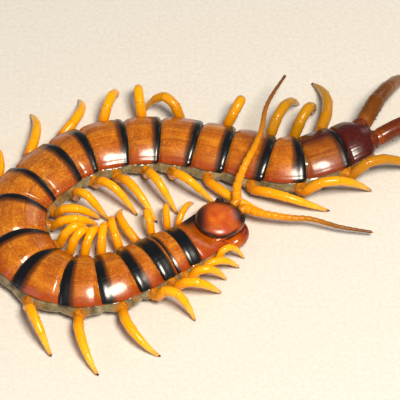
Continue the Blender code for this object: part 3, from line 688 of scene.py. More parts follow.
@dataclass(frozen=True)
class Palette:
    """The finishes, built once each."""

    plate: Material
    head: Material
    skin: Material
    belly: Material
    leg: Material
    hip: Material
    last_leg: Material
    feeler: Material
    fang: Material
    claw: Material
    mound: Material
    eye: Material

    @classmethod
    def mixed(cls) -> "Palette":
        """Builds every finish.

        Returns:
            The palette.
        """
        leg_stops = (
            (0.0, "#D88006"), (0.10, "#F29A02"), (0.30, "#FFA900"), (0.60, "#FFB206"), (0.82, "#FFBE3C"),
            (0.93, "#E0A040"), (1.0, "#8A5218"),
        )
        last_leg_stops = (
            (0.0, "#8A3E08"), (0.08, "#662A07"), (0.35, "#5A2106"), (0.65, "#74380A"), (0.88, "#542407"),
            (1.0, "#1A0A06"),
        )
        feeler_stops = (
            (0.0, "#F09A06"), (0.24, "#EA9408"), (0.42, "#C47A0C"), (0.70, "#8E5510"), (1.0, "#643A12"),
        )
        return cls(
            # Thick horn under wax: a satiny orange with a clear, slightly soft highlight.
            plate=BandedPlate(
                "waxed_tergite_chitin", stops=shades(0.25, "#9A4A04", "#B86007", "#D07A0D"), rough=0.4,
                rough_spread=0.06, wax=0.85, wax_rough=0.2, mottle=2.6, grain=0.3, grain_depth=0.02,
            ).build(),
            # Thin, punctured horn: redder, with a broad soft shine.
            head=HeadShell(
                "punctured_head_chitin", stops=shades(0.28, "#B03E04", "#CC5806", "#E07C0E"), rough=0.4,
                wax=0.9, wax_rough=0.28, sheen=0.25, grain=0.16, grain_depth=0.008, mottle=2.0,
            ).build(),
            # Unhardened cuticle: grey-olive under a wet, sharp shine. Its places are how near a hip and how
            # deep in a fold a point is, and the tints are amber blotches, painted shade in the folds'
            # valleys, below the folds and under the plates, and amber hips.
            skin=Finish(
                "wet_pleural_cuticle", stops=shades(0.3, "#5C5236", "#7C7050", "#A09470"),
                tints=(
                    Tint("#96631A", 0.5, 0.66, 0.6, blotch=2.4), Tint("#3C3526", 0.3, 0.05, 0.4, part=1),
                    Tint("#A8640F", 0.15, 0.8, 0.85),
                ),
                rough=0.35, wax=0.9, wax_rough=0.08, mottle=1.6, grain=0.22, grain_depth=0.02,
            ).build(),
            # Pale horn worn by the ground: plain and softly glossy.
            belly=Finish("sternite_chitin", stops=shades(0.3, "#6E5A26", "#8F7430", "#A98B45")).build(),
            # Thin yellow horn: bright, with a narrow gloss along each article.
            leg=LimbHorn(
                "yellow_leg_chitin", stops=leg_stops, rough=0.36, wax_rough=0.14, mottle=1.2,
                grain_depth=0.006,
            ).build(),
            # Creased horn: browner and duller than the legs.
            hip=Finish(
                "amber_coxa_chitin", stops=shades(0.3, "#8A4A08", "#B06A0A", "#CC8610"), mottle=0.7,
                rough=0.45, wax=0.25, wax_rough=0.25,
            ).build(),
            # Thick, grained horn: dark red-brown with a rough-edged gloss.
            last_leg=LimbHorn(
                "maroon_leg_chitin", stops=last_leg_stops, rough=0.36, mottle=0.6, grain=0.22,
                grain_depth=0.03,
            ).build(),
            # Downy horn: the gloss is weak.
            feeler=LimbHorn("feeler_chitin", stops=feeler_stops, rough=0.36, wax=0.3, mottle=0.8).build(),
            # The hardest horn, nearly polished: dark red with small bright highlights. Its places are how far
            # along the claw and how near a hinge a point is, and the tints its root, its hinges and its tip.
            fang=Finish(
                "fang_chitin", stops=shades(0.3, "#4A0E06", "#701A0A", "#98300E"),
                tints=(
                    Tint("#C05A0C", 0.46, 0.14, 0.9), Tint("#1C0603", 0.93, 0.99, 0.7, part=1),
                    Tint("#090303", 0.62, 0.86),
                ),
                rough=0.24, rough_spread=0.06, wax=0.8, wax_rough=0.06,
            ).build(),
            # Solid horn tips: nearly black.
            claw=Finish(
                "claw_tip_chitin", stops=shades(0.3, "#1E0E06", "#38200E", "#553416"), mottle=0.3,
            ).build(),
            # Dull dark horn round the eyes, against which the lenses shine.
            mound=Finish(
                "eye_mound_chitin", stops=shades(0.3, "#180A06", "#2A1209", "#45200F"), rough=0.45,
                mottle=0.5, wax=0.2,
            ).build(),
            # Clear lens cuticle over black pigment: glassy.
            eye=Finish(
                "ocellus_lens_cuticle", stops=shades(0.3, "#050304", "#0B0606", "#140B08"), rough=0.1,
                rough_spread=0.03, wax=1.0, wax_rough=0.03, grain_depth=0.001,
            ).build(),
        )


def edge_height(half_width: float) -> float:
    """The height of a back plate's side edge where the trunk has this half-width."""
    return 2.0 + 0.34 * half_width


def crown_height(half_width: float) -> float:
    """The height of a back plate's middle where the trunk has this half-width."""
    return edge_height(half_width) + 0.45 * half_width


@dataclass(frozen=True)
class Segment:
    """A trunk segment, numbered from 1 at the neck, between two distances along the centreline.

    Its hips are the distance at which its legs grow.
    """

    number: int
    front: float
    rear: float
    half_width: float
    hips: float

    @property
    def length(self) -> float:
        """Its length along the centreline."""
        return self.rear - self.front

    @property
    def is_collar(self) -> bool:
        """Whether it is the first one, whose plate is a collar."""
        return self.number == 1

    @property
    def is_last(self) -> bool:
        """Whether it is the last one, whose plate is a rounded shield."""
        return self.number == LAST


@dataclass(frozen=True)
class Trunk:
    """The line that the trunk lies along, from the neck round the coil, and its segments."""

    coil: Pairs = (
        (1.2, -7.3), (-1.5, -9.6), (-4.0, -11.1), (-11.6, -15.9), (-16.5, -17.8), (-22.0, -17.8),
        (-27.4, -14.8), (-30.7, -8.6), (-31.0, -2.4), (-28.6, 2.7), (-20.0, 10.4), (-7.6, 12.9),
        (4.6, 10.7), (14.3, 8.2), (20.4, 9.2), (26.5, 11.9), (29.3, 13.6),
    )
    lengths: tuple[float, ...] = (
        3.8, 2.3, 2.7, 2.6, 4.2, 5.2, 5.2, 6.4, 6.2, 7.9, 5.4,
        7.0, 4.7, 6.8, 5.9, 6.6, 5.8, 7.2, 5.3, 7.0, 6.0,
    )
    # Segments' numbers, with their half-widths, and with their hips' places as shares of their length.
    half_widths: Pairs = (
        (1, 4.15), (3, 4.6), (5, 4.9), (7, 5.35), (17, 5.35), (19, 5.2), (20, 4.85), (21, 4.4),
    )
    hip_places: Pairs = (
        (1, 0.7), (2, 0.6), (15, 0.6), (16, 0.5), (17, 0.6), (18, 0.78), (19, 0.9), (20, 0.9),
    )
    # How far the tail is raised, and between which distances it rises.
    lift: float = 1.5
    rise: tuple[float, float] = (94.0, 116.0)
    # The trunk is flat under the head plate: between these distances its back rises, from this share of it.
    neck_rise: tuple[float, float] = (0.7, 4.3)
    neck_share: float = 0.16

    @cached_property
    def route(self) -> Route:
        """The centreline on the floor."""
        return Route(smooth_curve([(x, y, 0.0) for x, y in self.coil]))

    @cached_property
    def segments(self) -> list[Segment]:
        """The segments from the neck to the tail."""
        found, front = [], 0.0
        for number, length in enumerate(self.lengths, start=1):
            hips = front + along(self.hip_places, number) * length
            found.append(Segment(number, front, front + length, along(self.half_widths, number), hips))
            front += length
        return found

    @property
    def end(self) -> float:
        """The distance at which the trunk ends."""
        return sum(self.lengths)

    def way(self, distance: float) -> Vector:
        """The direction towards the tail."""
        return self.route.direction(distance)

    def left_of(self, distance: float) -> Vector:
        """The level direction to the animal's left."""
        return self.way(distance).cross(UP)

    def middle(self, distance: float) -> Vector:
        """The point on the centreline, raised by as much as the tail is there."""
        return self.route.at(distance) + UP * (self.lift * smoothstep(*self.rise, distance))

    def place(self, distance: float, left: float, height: float) -> Vector:
        """A point of the trunk, in the model's axes."""
        return self.middle(distance) + self.left_of(distance) * left + UP * height

    def rise_share(self, distance: float) -> float:
        """How much of its full rise the back has there."""
        return self.neck_share + (1 - self.neck_share) * smoothstep(*self.neck_rise, distance)


@dataclass(frozen=True)
class BackPlates:
    """The domed plates over the segments. The rear lip of each lies over the tucked front of the next."""

    trunk: Trunk
    palette: Palette
    columns: int = 96
    under_columns: int = 18
    rows: int = 36
    # The rows end short of the rear edge, and closer ones round it off.
    last_row: float = 0.95
    edge_rows: tuple[float, ...] = (0.965, 0.977, 0.986, 0.993, 1.0)
    # The side edge from above to below: shares of the half-width, with distances below the edge's height.
    side_edge: Pairs = ((-1.0, 0.12), (-0.985, 0.22), (-0.955, 0.2))
    thickness: float = 0.3
    # How far a plate's front reaches under the one before it, how deep, and how far its lip goes behind.
    tuck: float = 0.6
    tuck_depth: float = 0.55
    lip: float = 0.25
    fullness: float = 0.8
    rear_bow: float = 0.3
    suture: float = BandedPlate.suture
    suture_depth: float = 0.03
    rim_height: float = 0.07
    # How much of a rim the plates have, by their segments' numbers.
    rim_shares: Pairs = ((6, 0.0), (9, 0.3), (12, 0.7), (16, 0.7), (19, 0.4), (20, 0.2), (21, 0.0))
    ridge_spacing: float = 0.5
    ridge_height: float = 0.012
    pillow: float = 0.22
    collar_reach: float = 1.3
    # How wide the black band at each plate's rear is, in mm, and how maroon the plates are.
    bands: tuple[float, ...] = (
        0.0, 2.2, 0.55, 2.1, 1.6, 1.5, 1.45, 1.75, 1.4, 1.3, 1.2,
        1.5, 1.45, 1.2, 1.1, 1.2, 1.35, 1.5, 1.35, 1.1, 0.3,
    )
    maroon: Pairs = ((17, 0.0), (18, 0.08), (19, 0.03), (20, 0.42), (21, 1.0))

    def tone(self, segment: Segment, length: float) -> Triple:
        """Where a plate's black starts along it, how black that is, and how maroon the plate is."""
        band = self.bands[segment.number - 1]
        # A plate with no band has its start behind it.
        start = 1 - band / length if band else 1.3
        return start, 1.0 if band else 0.0, along(self.maroon, segment.number)

    def width_share(self, segment: Segment, share: float) -> float:
        """The plate's half-width at a share of its length, with rounded rear corners.

        Args:
            segment: the segment under the plate.
            share: the place along it.

        Returns:
            A share of the segment's half-width.
        """
        corner = 0.07 * max(0.0, (share - 0.92) / 0.08) ** 2
        if segment.is_collar:
            return 1.03 - 0.02 * smoothstep(0.3, 0.9, share) - corner
        if segment.is_last:
            rounded = 0.40 * max(0.0, (share - 0.5) / 0.5) ** 2.2
            return 0.96 + 0.06 * smoothstep(0.0, 0.25, share) - rounded
        return 0.90 + 0.10 * smoothstep(0.0, 0.45, share) - corner

    def drop(self, segment: Segment, gone: float, share: float) -> float:
        """How far the top is lowered: tucked down in front, and rounded off behind on the last plate.

        Args:
            segment: the segment under the plate.
            gone: the distance behind its front edge.
            share: the place along it.

        Returns:
            The distance.
        """
        if segment.is_collar:
            return 0.0
        # The tuck is shorter on segments under 4 mm long.
        scale = min(1.0, segment.length / 4.0)
        rounded = 0.45 * max(0.0, (share - 0.55) / 0.45) ** 2 if segment.is_last else 0.0
        return rounded + self.tuck_depth * smoothstep(1.8 * scale, 0.7 * scale, gone)

    def relief(self, segment: Segment, across: float, share: float, remaining: float, spot: Vector) -> float:
        """The height of the sutures, rims, ridges and waves over the plain dome.

        Args:
            segment: the segment under the plate.
            across: the place across the plate, from -1 to 1.
            share: the place along it, from 0 to 1.
            remaining: the distance to its rear edge.
            spot: the point, which the waves are read from.

        Returns:
            The height.
        """
        out = abs(across)
        # Broad, shallow waves with finer ones over them.
        height = 0.05 * noise.noise(spot * 0.35) + 0.008 * noise.noise(spot * 1.6)
        inner = smoothstep(0.06, 0.2, share) * smoothstep(0.97, 0.88, share)
        if 3 <= segment.number < LAST:
            height -= self.suture_depth * bump(self.suture, 0.026, out) * inner
        # A raised rim with a furrow inside it.
        rim = along(self.rim_shares, segment.number)
        height += rim * self.rim_height * (bump(0.95, 0.035, out) - 0.6 * bump(0.88, 0.03, out))
        if segment.is_last:
            ridges = self.ridge_height * sin(2 * pi * out * segment.half_width / self.ridge_spacing)
            height += ridges * inner * smoothstep(0.3, 0.6, out)
        swell = self.pillow * (1.5 if segment.is_last else 1.0)
        height += swell * sin(pi * share) * (1 - 0.35 * out**4)
        # A welt along the rear edge, which then turns down.
        return height + 0.06 * bump(0.6, 0.35, remaining) - 0.13 * smoothstep(0.2, 0.0, remaining)

    def ring(self, segment: Segment, start: float, end: float, share: float) -> tuple[list, list]:
        """Places the points round the plate at a share of its length.

        Args:
            segment: the segment under the plate.
            start: the distance of the plate's front edge.
            end: the distance of its rear edge.
            share: the place along it.

        Returns:
            The points, and their places on the plate.
        """
        distance = start + (end - start) * share
        middle, left = self.trunk.middle(distance), self.trunk.left_of(distance)
        way = self.trunk.way(distance)
        half = segment.half_width * self.width_share(segment, share)
        base = edge_height(segment.half_width) - self.drop(segment, distance - start, share)
        rise = crown_height(segment.half_width) - edge_height(segment.half_width)
        rise *= self.trunk.rise_share(distance)
        # The plate thins out towards its front and rear edges.
        thinned = 0.3 + 0.7 * smoothstep(0.0, 0.15, min(distance - start, end - distance))
        eased = 0.2 + 0.8 * smoothstep(0.2, 0.7, share) if segment.is_collar else 1.0
        profile = []
        for k in range(self.columns + 1):
            across = sin(pi / 2 * (1 - 2 * k / self.columns))
            spot = middle + left * (half * across)
            raised = self.relief(segment, across, share, end - distance, spot) * eased
            profile.append((across, base + rise * self.dome(across) + raised))
        profile += [(across, base - below * thinned) for across, below in self.side_edge]
        for k in range(self.under_columns + 1):
            across = -0.9 + 1.8 * k / self.under_columns
            profile.append((across, base + rise * self.dome(across) - self.thickness * thinned))
        profile += [(-across, base - below * thinned) for across, below in reversed(self.side_edge)]
        points, places = [], []
        for across, height in profile:
            back = self.rear_bow * (1 - across * across) * share**3
            if segment.is_collar:
                back -= self.collar_reach * abs(across) ** 3 * (1 - share) ** 2
            points.append(middle + left * (half * across) + way * back + UP * height)
            places.append((across, share, segment.number / LAST))
        return points, places

    def dome(self, across: float) -> float:
        """The dome's height across the plate, as a share of its height in the middle."""
        return max(0.0, cos(across * pi / 2)) ** self.fullness

    def build(self, segment: Segment) -> None:
        """Makes one plate.

        Args:
            segment: the segment under it.
        """
        start = segment.front + GAP / 2 if segment.is_collar else segment.front - self.tuck
        end = segment.rear + (0.0 if segment.is_last else self.lip)
        shares = [self.last_row * k / self.rows for k in range(self.rows + 1)] + list(self.edge_rows)
        rings, places = zip(*(self.ring(segment, start, end, share) for share in shares))
        surface = Surface(f"back_plate_{segment.number:02d}")
        surface.skin(rings, places, self.tone(segment, end - start))
        surface.piece([self.palette.plate])


@dataclass(frozen=True)
class BellyPlates:
    """The flat plates under the segments, each with two shallow lengthwise grooves."""

    trunk: Trunk
    palette: Palette
    # The half-width as a share of the trunk's, the height over the floor, and the thickness.
    width: float = 0.62
    height: float = 0.75
    depth: float = 0.55
    columns: int = 32
    rows: int = 14
    # How far across a groove runs, how wide it is, and how deep.
    groove: Triple = (0.48, 0.05, 0.05)

    def ring(self, segment: Segment, share: float) -> tuple[list, list]:
        """Places the points round a plate at a share of its length.

        Args:
            segment: the segment over the plate.
            share: the place along it.

        Returns:
            The points, and their places on the plate.
        """
        # The plate leaves a soft gap in front of it and behind.
        distance = segment.front + segment.length * (0.06 + 0.9 * share)
        middle, left = self.trunk.middle(distance), self.trunk.left_of(distance)
        taper = 0.42 * smoothstep(0.2, 1.0, share) if segment.is_last else 0.08 * share
        half = segment.half_width * self.width * (1 - 0.16 * (2 * share - 1) ** 6 - taper)
        points, places = [], []
        # Its front and rear edges are turned up.
        turned = 0.25 * (2 * share - 1) ** 8
        groove_place, groove_width, groove_depth = self.groove
        groove_depth *= smoothstep(0.0, 0.2, min(share, 1 - share))
        for k in range(self.columns + 1):
            across = 1 - 2 * k / self.columns
            groove = groove_depth * bump(groove_place, groove_width, abs(across))
            height = self.height + groove + 0.3 * abs(across) ** 8 + turned
            points.append(middle + left * (half * across) + UP * height)
            places.append((across, share, 0.0))
        for across in (-0.96, -0.4, 0.4, 0.96):
            points.append(middle + left * (half * across) + UP * (self.height + self.depth))
            places.append((across, share, 0.0))
        return points, places

    def build(self) -> None:
        """Makes the plates as one piece."""
        surface = Surface("belly_plates")
        for segment in self.trunk.segments:
            rings, places = zip(*(self.ring(segment, k / self.rows) for k in range(self.rows + 1)))
            surface.skin(rings, places)
        surface.piece([self.palette.belly])


@dataclass(frozen=True)
class SideFlesh:
    """One skin round the trunk, under the plates. It pinches between segments and folds along the sides."""

    trunk: Trunk
    palette: Palette
    stations_in_mm: float = 7.0
    steps: int = 6
    waist: float = 0.10
    fold_depth: float = 0.13
    crease_depth: float = 0.12
    # The skin swells round each hip: at this height, this far out, over this much of the trunk's length.
    hip_height: float = 2.1
    hip_swell: float = 0.35
    hip_reach: float = 1.15
    # How far over the floor the skin closes at the tail.
    tail_height: float = 2.6
    # The outline from the belly up one side: shares of the half-width, with heights over the floor, then over
    # the plates' side edge, then over their middle.
    belly: Pairs = ((0.30, 1.0), (0.55, 0.95), (0.94, 1.25), (1.09, 2.2))
    under_margin: Pairs = ((0.98, -0.55), (0.80, 0.05))
    under_crown: Pairs = ((0.42, -0.6),)

    @cached_property
    def weights(self) -> np.ndarray:
        """What each outline point takes of each control point, on a closed Catmull-Rom curve."""
        count = 2 * (len(self.belly) + len(self.under_margin) + len(self.under_crown))
        rows = []
        for k in range(count):
            for step in range(self.steps):
                t = step / self.steps
                row = np.zeros(count)
                row[k - 1] += 0.5 * (-t + 2 * t * t - t**3)
                row[k] += 0.5 * (2 - 5 * t * t + 3 * t**3)
                row[(k + 1) % count] += 0.5 * (t + 4 * t * t - 3 * t**3)
                row[(k + 2) % count] += 0.5 * (-t * t + t**3)
                rows.append(row)
        return np.array(rows)

    def outline(self, distance: float) -> tuple[np.ndarray, float]:
        """The plain outline there.

        Args:
            distance: the place along the trunk.

        Returns:
            The distances to the left with the heights, and the height of the plates' side edge.
        """
        segments = self.trunk.segments
        middles = [(s.front + s.rear) / 2 for s in segments]
        half = float(np.interp(distance, middles, [s.half_width for s in segments]))
        here = next((s for s in segments if distance < s.rear), segments[-1])
        phase = (distance - here.front) / here.length
        narrow = 1 - self.waist * (2 * phase - 1) ** 4
        if here.is_last:
            narrow -= 0.22 * smoothstep(0.4, 1.0, phase)
        margin = edge_height(half)
        flank = list(self.belly)
        flank += [(share, margin + above) for share, above in self.under_margin]
        flank += [(share, crown_height(half) + above) for share, above in self.under_crown]
        closed = np.array(flank + [(-share, height) for share, height in reversed(flank)])
        closed[:, 0] *= half * narrow
        return self.weights @ closed, margin

    def fold(self, distance: float, side: float, height: float, margin: float) -> float:
        """How far a fold stands out, with its valleys at 0.

        Args:
            distance: the place along the trunk.
            side: the sign of the distance to the left.
            height: the height over the floor.
            margin: the height of the plates' side edge.

        Returns:
            A share of the fold's full height.
        """
        # The folds are tighter on the left, which is the inside of the bend.
        # The third number of each spot gives the two sides different folds.
        tight = 1.0 if side > 0 else 0.7
        broad = abs(noise.noise(Vector((distance * 0.95 * tight, height * 0.45, 9.0 * side))))
        fine = abs(noise.noise(Vector((distance * 2.3, height * 1.1, 31.0 * side))))
        window = smoothstep(1.0, 1.8, height) * smoothstep(margin + 0.1, margin - 0.3, height)
        return (min(1.0, 2.0 * broad) + 0.22 * min(1.0, 2.0 * fine)) * window

    def near_hip(self, distance: float, height: float) -> float:
        """How near the closest hip is, from 0 to 1."""
        nearest = min(abs(distance - segment.hips) for segment in self.trunk.segments)
        return bump(0.0, self.hip_reach, nearest) * bump(self.hip_height, 1.0, height)

    def ring(self, distance: float, end: float) -> tuple[list, list]:
        """Places the points round the skin.

        Args:
            distance: the place along the trunk.
            end: where the skin closes.

        Returns:
            The points, and how near a hip, how deep in a fold and how high each is.
        """
        middle, left = self.trunk.middle(distance), self.trunk.left_of(distance)
        outline, margin = self.outline(distance)
        close = smoothstep(0.0, 1.2, end - distance)
        ring, marks = [], []
        for out, height in outline:
            side = copysign(1.0, out)
            fold = self.fold(distance, side, height, margin)
            hip = self.near_hip(distance, height) * smoothstep(0.6, 0.9, abs(out) / 5)
            crease = bump(margin - 0.95, 0.16, height)
            swell = self.fold_depth * (fold - 0.4) + self.hip_swell * hip - self.crease_depth * crease
            out += side * swell * smoothstep(1.0, 1.6, height)
            # What lies under the plates sinks with them at the neck.
            over = max(0.0, height - margin + 0.45)
            top = height - over * (1 - self.trunk.rise_share(distance))
            top = self.tail_height + (top - self.tail_height) * (0.35 + 0.65 * close)
            ring.append(middle + left * (out * (0.5 + 0.5 * close)) + UP * top)
            marks.append((hip, min(1.0, fold), height / 5))
        return ring, marks

    def build(self) -> None:
        """Makes the skin, which stands for all the frame's trunk nodes."""
        start, end = GAP / 2, self.trunk.end - 0.1
        count = int((end - start) * self.stations_in_mm)
        distances = [start + (end - start) * k / count for k in range(count + 1)]
        rings, places = zip(*(self.ring(distance, end) for distance in distances))
        surface = Surface("side_skin")
        surface.skin(rings, places)
        nodes = [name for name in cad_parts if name.startswith("trunk_")]
        surface.piece([self.palette.skin], nodes)


@dataclass(frozen=True)
class Limb:
    """A leg that stands: where it grows, the level directions outwards and tailwards there, and its stance.

    The stance is its sweep towards the tail in degrees, its reach, and how far its middle bows aside.
    """

    root: Vector
    outwards: Vector
    tailwards: Vector
    stance: Triple
    length: float
    radius: float
    # Where the two pulls on its curve are, as shares of the reach, and what each takes of the bow.
    knee_near: float = 0.30
    knee_far: float = 0.72
    bow_pull: float = 1.33
    # The far pull's height over the floor, and what it takes of the near one's lift.
    ankle: float = 1.2
    ankle_share: float = 0.6

    def level(self, degrees: float) -> Vector:
        """The level direction swept this far towards the tail."""
        return self.outwards * cos(radians(degrees)) + self.tailwards * sin(radians(degrees))

    @property
    def across(self) -> Vector:
        """The level direction square to the leg's way."""
        return self.level(self.stance[0] + 90)

    @property
    def foot(self) -> Vector:
        """Where it stands."""
        flat = self.root + self.level(self.stance[0]) * self.stance[1]
        return Vector((flat.x, flat.y, 0.0))

    def route_at(self, lift: float) -> Route:
        """The leg's line when it is arched up.

        Args:
            lift: how far the near pull is raised.

        Returns:
            The line.
        """
        sweep, reach, bow = self.stance
        ahead, aside = self.level(sweep) * reach, self.across * bow
        first = self.root + ahead * self.knee_near + aside * self.bow_pull + UP * lift
        second = self.root + ahead * self.knee_far + aside * self.bow_pull
        second.z = self.ankle + lift * self.ankle_share
        return Route(bezier_curve(self.root, first, second, self.foot))

    @cached_property
    def route(self) -> Route:
        """The line whose length is the leg's own, found by halving the range of lifts."""
        low, high = 0.0, self.length * 2
        for _ in range(24):
            lift = (low + high) / 2
            if self.route_at(lift).length < self.length:
                low = lift
            else:
                high = lift
        return self.route_at(low)


@dataclass(frozen=True)
class JointedTube:
    """The articles of a limb as one tube: each widens to a lip, and the next starts inside it."""

    route: Route
    # Where the articles meet, as shares of the route, and the radius at each of these places.
    joints: tuple[float, ...]
    radii: tuple[float, ...]
    across: Vector
    sides: int = 14
    # How far an article follows the curved route instead of being straight.
    curving: float = 0.5
    least_height: float = 0.06
    # Over which share of an article it turns from the one before it and to the one after.
    turn_in: float = 0.12
    turn_out: float = 0.06
    # The shape of an article: shares of its length, with shares of its radius.
    article: Pairs = (
        (0.0, 0.90), (0.03, 0.91), (0.08, 0.95), (0.18, 0.97), (0.42, 0.98), (0.70, 1.01), (0.90, 1.03),
        (0.965, 1.02), (0.99, 0.96),
    )

    def add_to(self, surface: Surface, first_way: Vector, tone: Triple, sunk: float = 0.45) -> None:
        """Adds the tube to a surface.

        Args:
            surface: what it is added to.
            first_way: the direction in which it leaves its hip.
            tone: the limb's tone.
            sunk: how far its root reaches into the hip.
        """
        spots = [self.route.at(self.route.length * share) for share in self.joints]
        ways = [(b - a).normalized() for a, b in zip(spots, spots[1:])]
        rings, places = [], []
        for k, way in enumerate(ways):
            before = ways[k - 1] if k else first_way
            after = ways[min(k + 1, len(ways) - 1)]
            for share, width in self.article:
                run = self.joints[k] + (self.joints[k + 1] - self.joints[k]) * share
                straight = spots[k].lerp(spots[k + 1], share)
                centre = straight.lerp(self.route.at(self.route.length * run), self.curving)
                turned = way + before * max(0.0, 1 - share / self.turn_in)
                turned += after * max(0.0, 1 - (1 - share) / self.turn_out)
                radius = (self.radii[k] + (self.radii[k + 1] - self.radii[k]) * share) * width
                if k == 0 and share == 0.0:
                    centre, turned = centre - first_way * sunk, first_way
                ring = limb_ring(centre, turned.normalized(), self.across, radius, self.sides)
                for point in ring:
                    point.z = max(point.z, self.least_height)
                rings.append(ring)
                places.append((run, share, k / 10))
        surface.skin(rings, places, tone)


@dataclass(frozen=True)
class Standing:
    """A walking leg's segment, side, stance and tone."""

    segment: Segment
    side: Side
    stance: Triple
    tone: Triple


@dataclass(frozen=True)
class WalkingLegs:
    """The twenty pairs of walking legs, with the hips that carry them."""

    trunk: Trunk
    palette: Palette
    # Where the articles meet, as shares of the leg, and the radius there as a share of the root's.
    joints: tuple[float, ...] = (0.0, 0.24, 0.46, 0.65, 0.82, 0.955)
    taper: tuple[float, ...] = (1.0, 0.97, 0.90, 0.75, 0.52, 0.30)
    left_share: float = 0.9
    # Segments' numbers, with their legs' lengths and radii.
    lengths: Pairs = ((1, 8.5), (4, 10.8), (8, 12.2), (16, 12.8), (18, 14.6), (20, 15.5))
    radii: Pairs = ((1, 0.64), (4, 0.86), (8, 0.92), (16, 0.94), (20, 1.05))
    # A hip runs from inside the flesh to outside it, as shares of the half-width, and stands out by its stub.
    hip_height: float = 2.2
    hip_inside: float = 0.45
    hip_outside: float = 1.05
    hip_stub: float = 0.65
    hip_turn: float = 0.5
    hip_most_turn: float = 45.0
    hip_sides: int = 16
    hip_shape: Pairs = (
        (0.0, 1.0), (0.45, 1.35), (0.62, 1.42), (0.68, 1.34), (0.74, 1.36), (0.84, 1.22), (0.93, 1.12),
        (0.975, 1.10), (1.0, 1.0),
    )
    # How high over the floor the claws' tips end.
    tip_height: float = 0.04
    claw_bow: float = 0.12
    # The two spurs beside the claw and the thorn at the tarsus: lengths and radii.
    spur_length: float = 0.42
    spur_radius: float = 0.07
    thorn_length: float = 0.45
    thorn_radius: float = 0.09
    thorn_joint: int = 4
    # How each leg stands: its sweep towards the tail in degrees, its reach, and its bow towards the tail.
    left: tuple[Triple, ...] = (
        (-61, 7.0, 0.0), (-28, 5.9, 0.2), (-24, 5.9, 0.3), (-16, 9.1, 1.4), (-24, 8.4, 0.9),
        (-26, 7.6, 0.1), (-22, 6.9, -0.2), (-8, 6.0, -0.5), (13, 6.0, -1.0), (16, 7.6, -1.8),
        (39, 7.3, -1.8), (13, 6.5, -1.2), (21, 8.8, -0.5), (25, 10.7, -0.1), (33, 8.9, -0.7),
        (66, 8.8, -1.3), (76, 12.9, -1.4), (94, 13.5, -1.1), (95, 12.0, -0.7), (82, 13.0, 0.6),
    )
    right: tuple[Triple, ...] = (
        (-76, 5.0, -0.4), (-82, 6.8, 0.1), (-71, 6.2, 0.5), (-60, 7.4, 1.0), (-30, 7.0, -0.3),
        (-20, 9.7, 1.6), (-20, 10.5, 1.0), (-56, 9.5, 0.4), (-40, 7.1, 0.1), (-41, 7.3, 0.4),
        (36, 10.7, 1.8), (44, 11.3, 1.4), (46, 10.7, 1.9), (30, 8.9, 0.4), (1, 8.1, -0.5),
        (-68, 7.7, 0.6), (-6, 6.4, 2.2), (13, 10.8, 0.1), (32, 8.7, 0.9), (20, 14.0, 2.0),
    )
    # Legs that aren't plain yellow: how olive, how dark amber and how red-brown they are.
    left_tones: tuple[tuple[int, Triple], ...] = (
        (18, (0.1, 0.0, 0.0)), (19, (0.1, 0.1, 0.0)), (20, (0.4, 0.4, 0.0)),
    )
    right_tones: tuple[tuple[int, Triple], ...] = (
        (16, (0.1, 0.25, 0.0)), (17, (0.2, 0.1, 0.0)), (18, (0.6, 0.1, 0.0)), (19, (0.6, 0.1, 0.0)),
        (20, (0.6, 0.15, 0.0)),
    )

    def radius(self, leg: Standing) -> float:
        """A leg's radius at its hip. The legs inside the coil are a little thinner."""
        return along(self.radii, leg.segment.number) * (self.left_share if leg.side is Side.LEFT else 1.0)

    def beside(self, leg: Standing, share: float) -> Vector:
        """The point at hip height that is this share of the trunk's half-width away, on a leg's side."""
        left = leg.side.value * leg.segment.half_width * share
        return self.trunk.place(leg.segment.hips, left, self.hip_height)

    def hip_way(self, leg: Standing) -> Vector:
        """The direction in which a hip points: part of the way towards where its leg goes.

        Args:
            leg: the leg.

        Returns:
            The direction.
        """
        sweep, reach, bow = leg.stance
        start = sweep + np.degrees(np.arctan2(bow * Limb.bow_pull, reach * Limb.knee_near))
        turn = radians(float(np.clip(start * self.hip_turn, -self.hip_most_turn, self.hip_most_turn)))
        outwards = self.trunk.left_of(leg.segment.hips) * leg.side.value
        return outwards * cos(turn) + self.trunk.way(leg.segment.hips) * sin(turn)

    def hip(self, surface: Surface, leg: Standing) -> None:
        """Adds a hip: a short barrel with a folded root and a lip round the leg's own root.

        Args:
            surface: the hips' surface.
            leg: its leg.
        """
        way = self.hip_way(leg)
        inside, skin = self.beside(leg, self.hip_inside), self.beside(leg, self.hip_outside)
        end = skin + way * self.hip_stub
        line = Route(bezier_curve(inside, inside.lerp(skin, 0.7), skin - way * 0.3, end))
        rings = swept(line, self.hip_shape, UP, self.radius(leg), self.hip_sides)
        surface.skin(rings, [(share, share, 0.0) for share, _ in self.hip_shape])

    def limb(self, leg: Standing) -> Limb:
        """The line and sizes of a leg, which stands between its hip's face and the floor.

        Args:
            leg: the leg.

        Returns:
            The limb.
        """
        hips, number = leg.segment.hips, leg.segment.number
        root = self.beside(leg, self.hip_outside) + self.hip_way(leg) * (self.hip_stub + GAP)
        outwards = self.trunk.left_of(hips) * leg.side.value
        length = along(self.lengths, number)
        return Limb(root, outwards, self.trunk.way(hips), leg.stance, length, self.radius(leg))

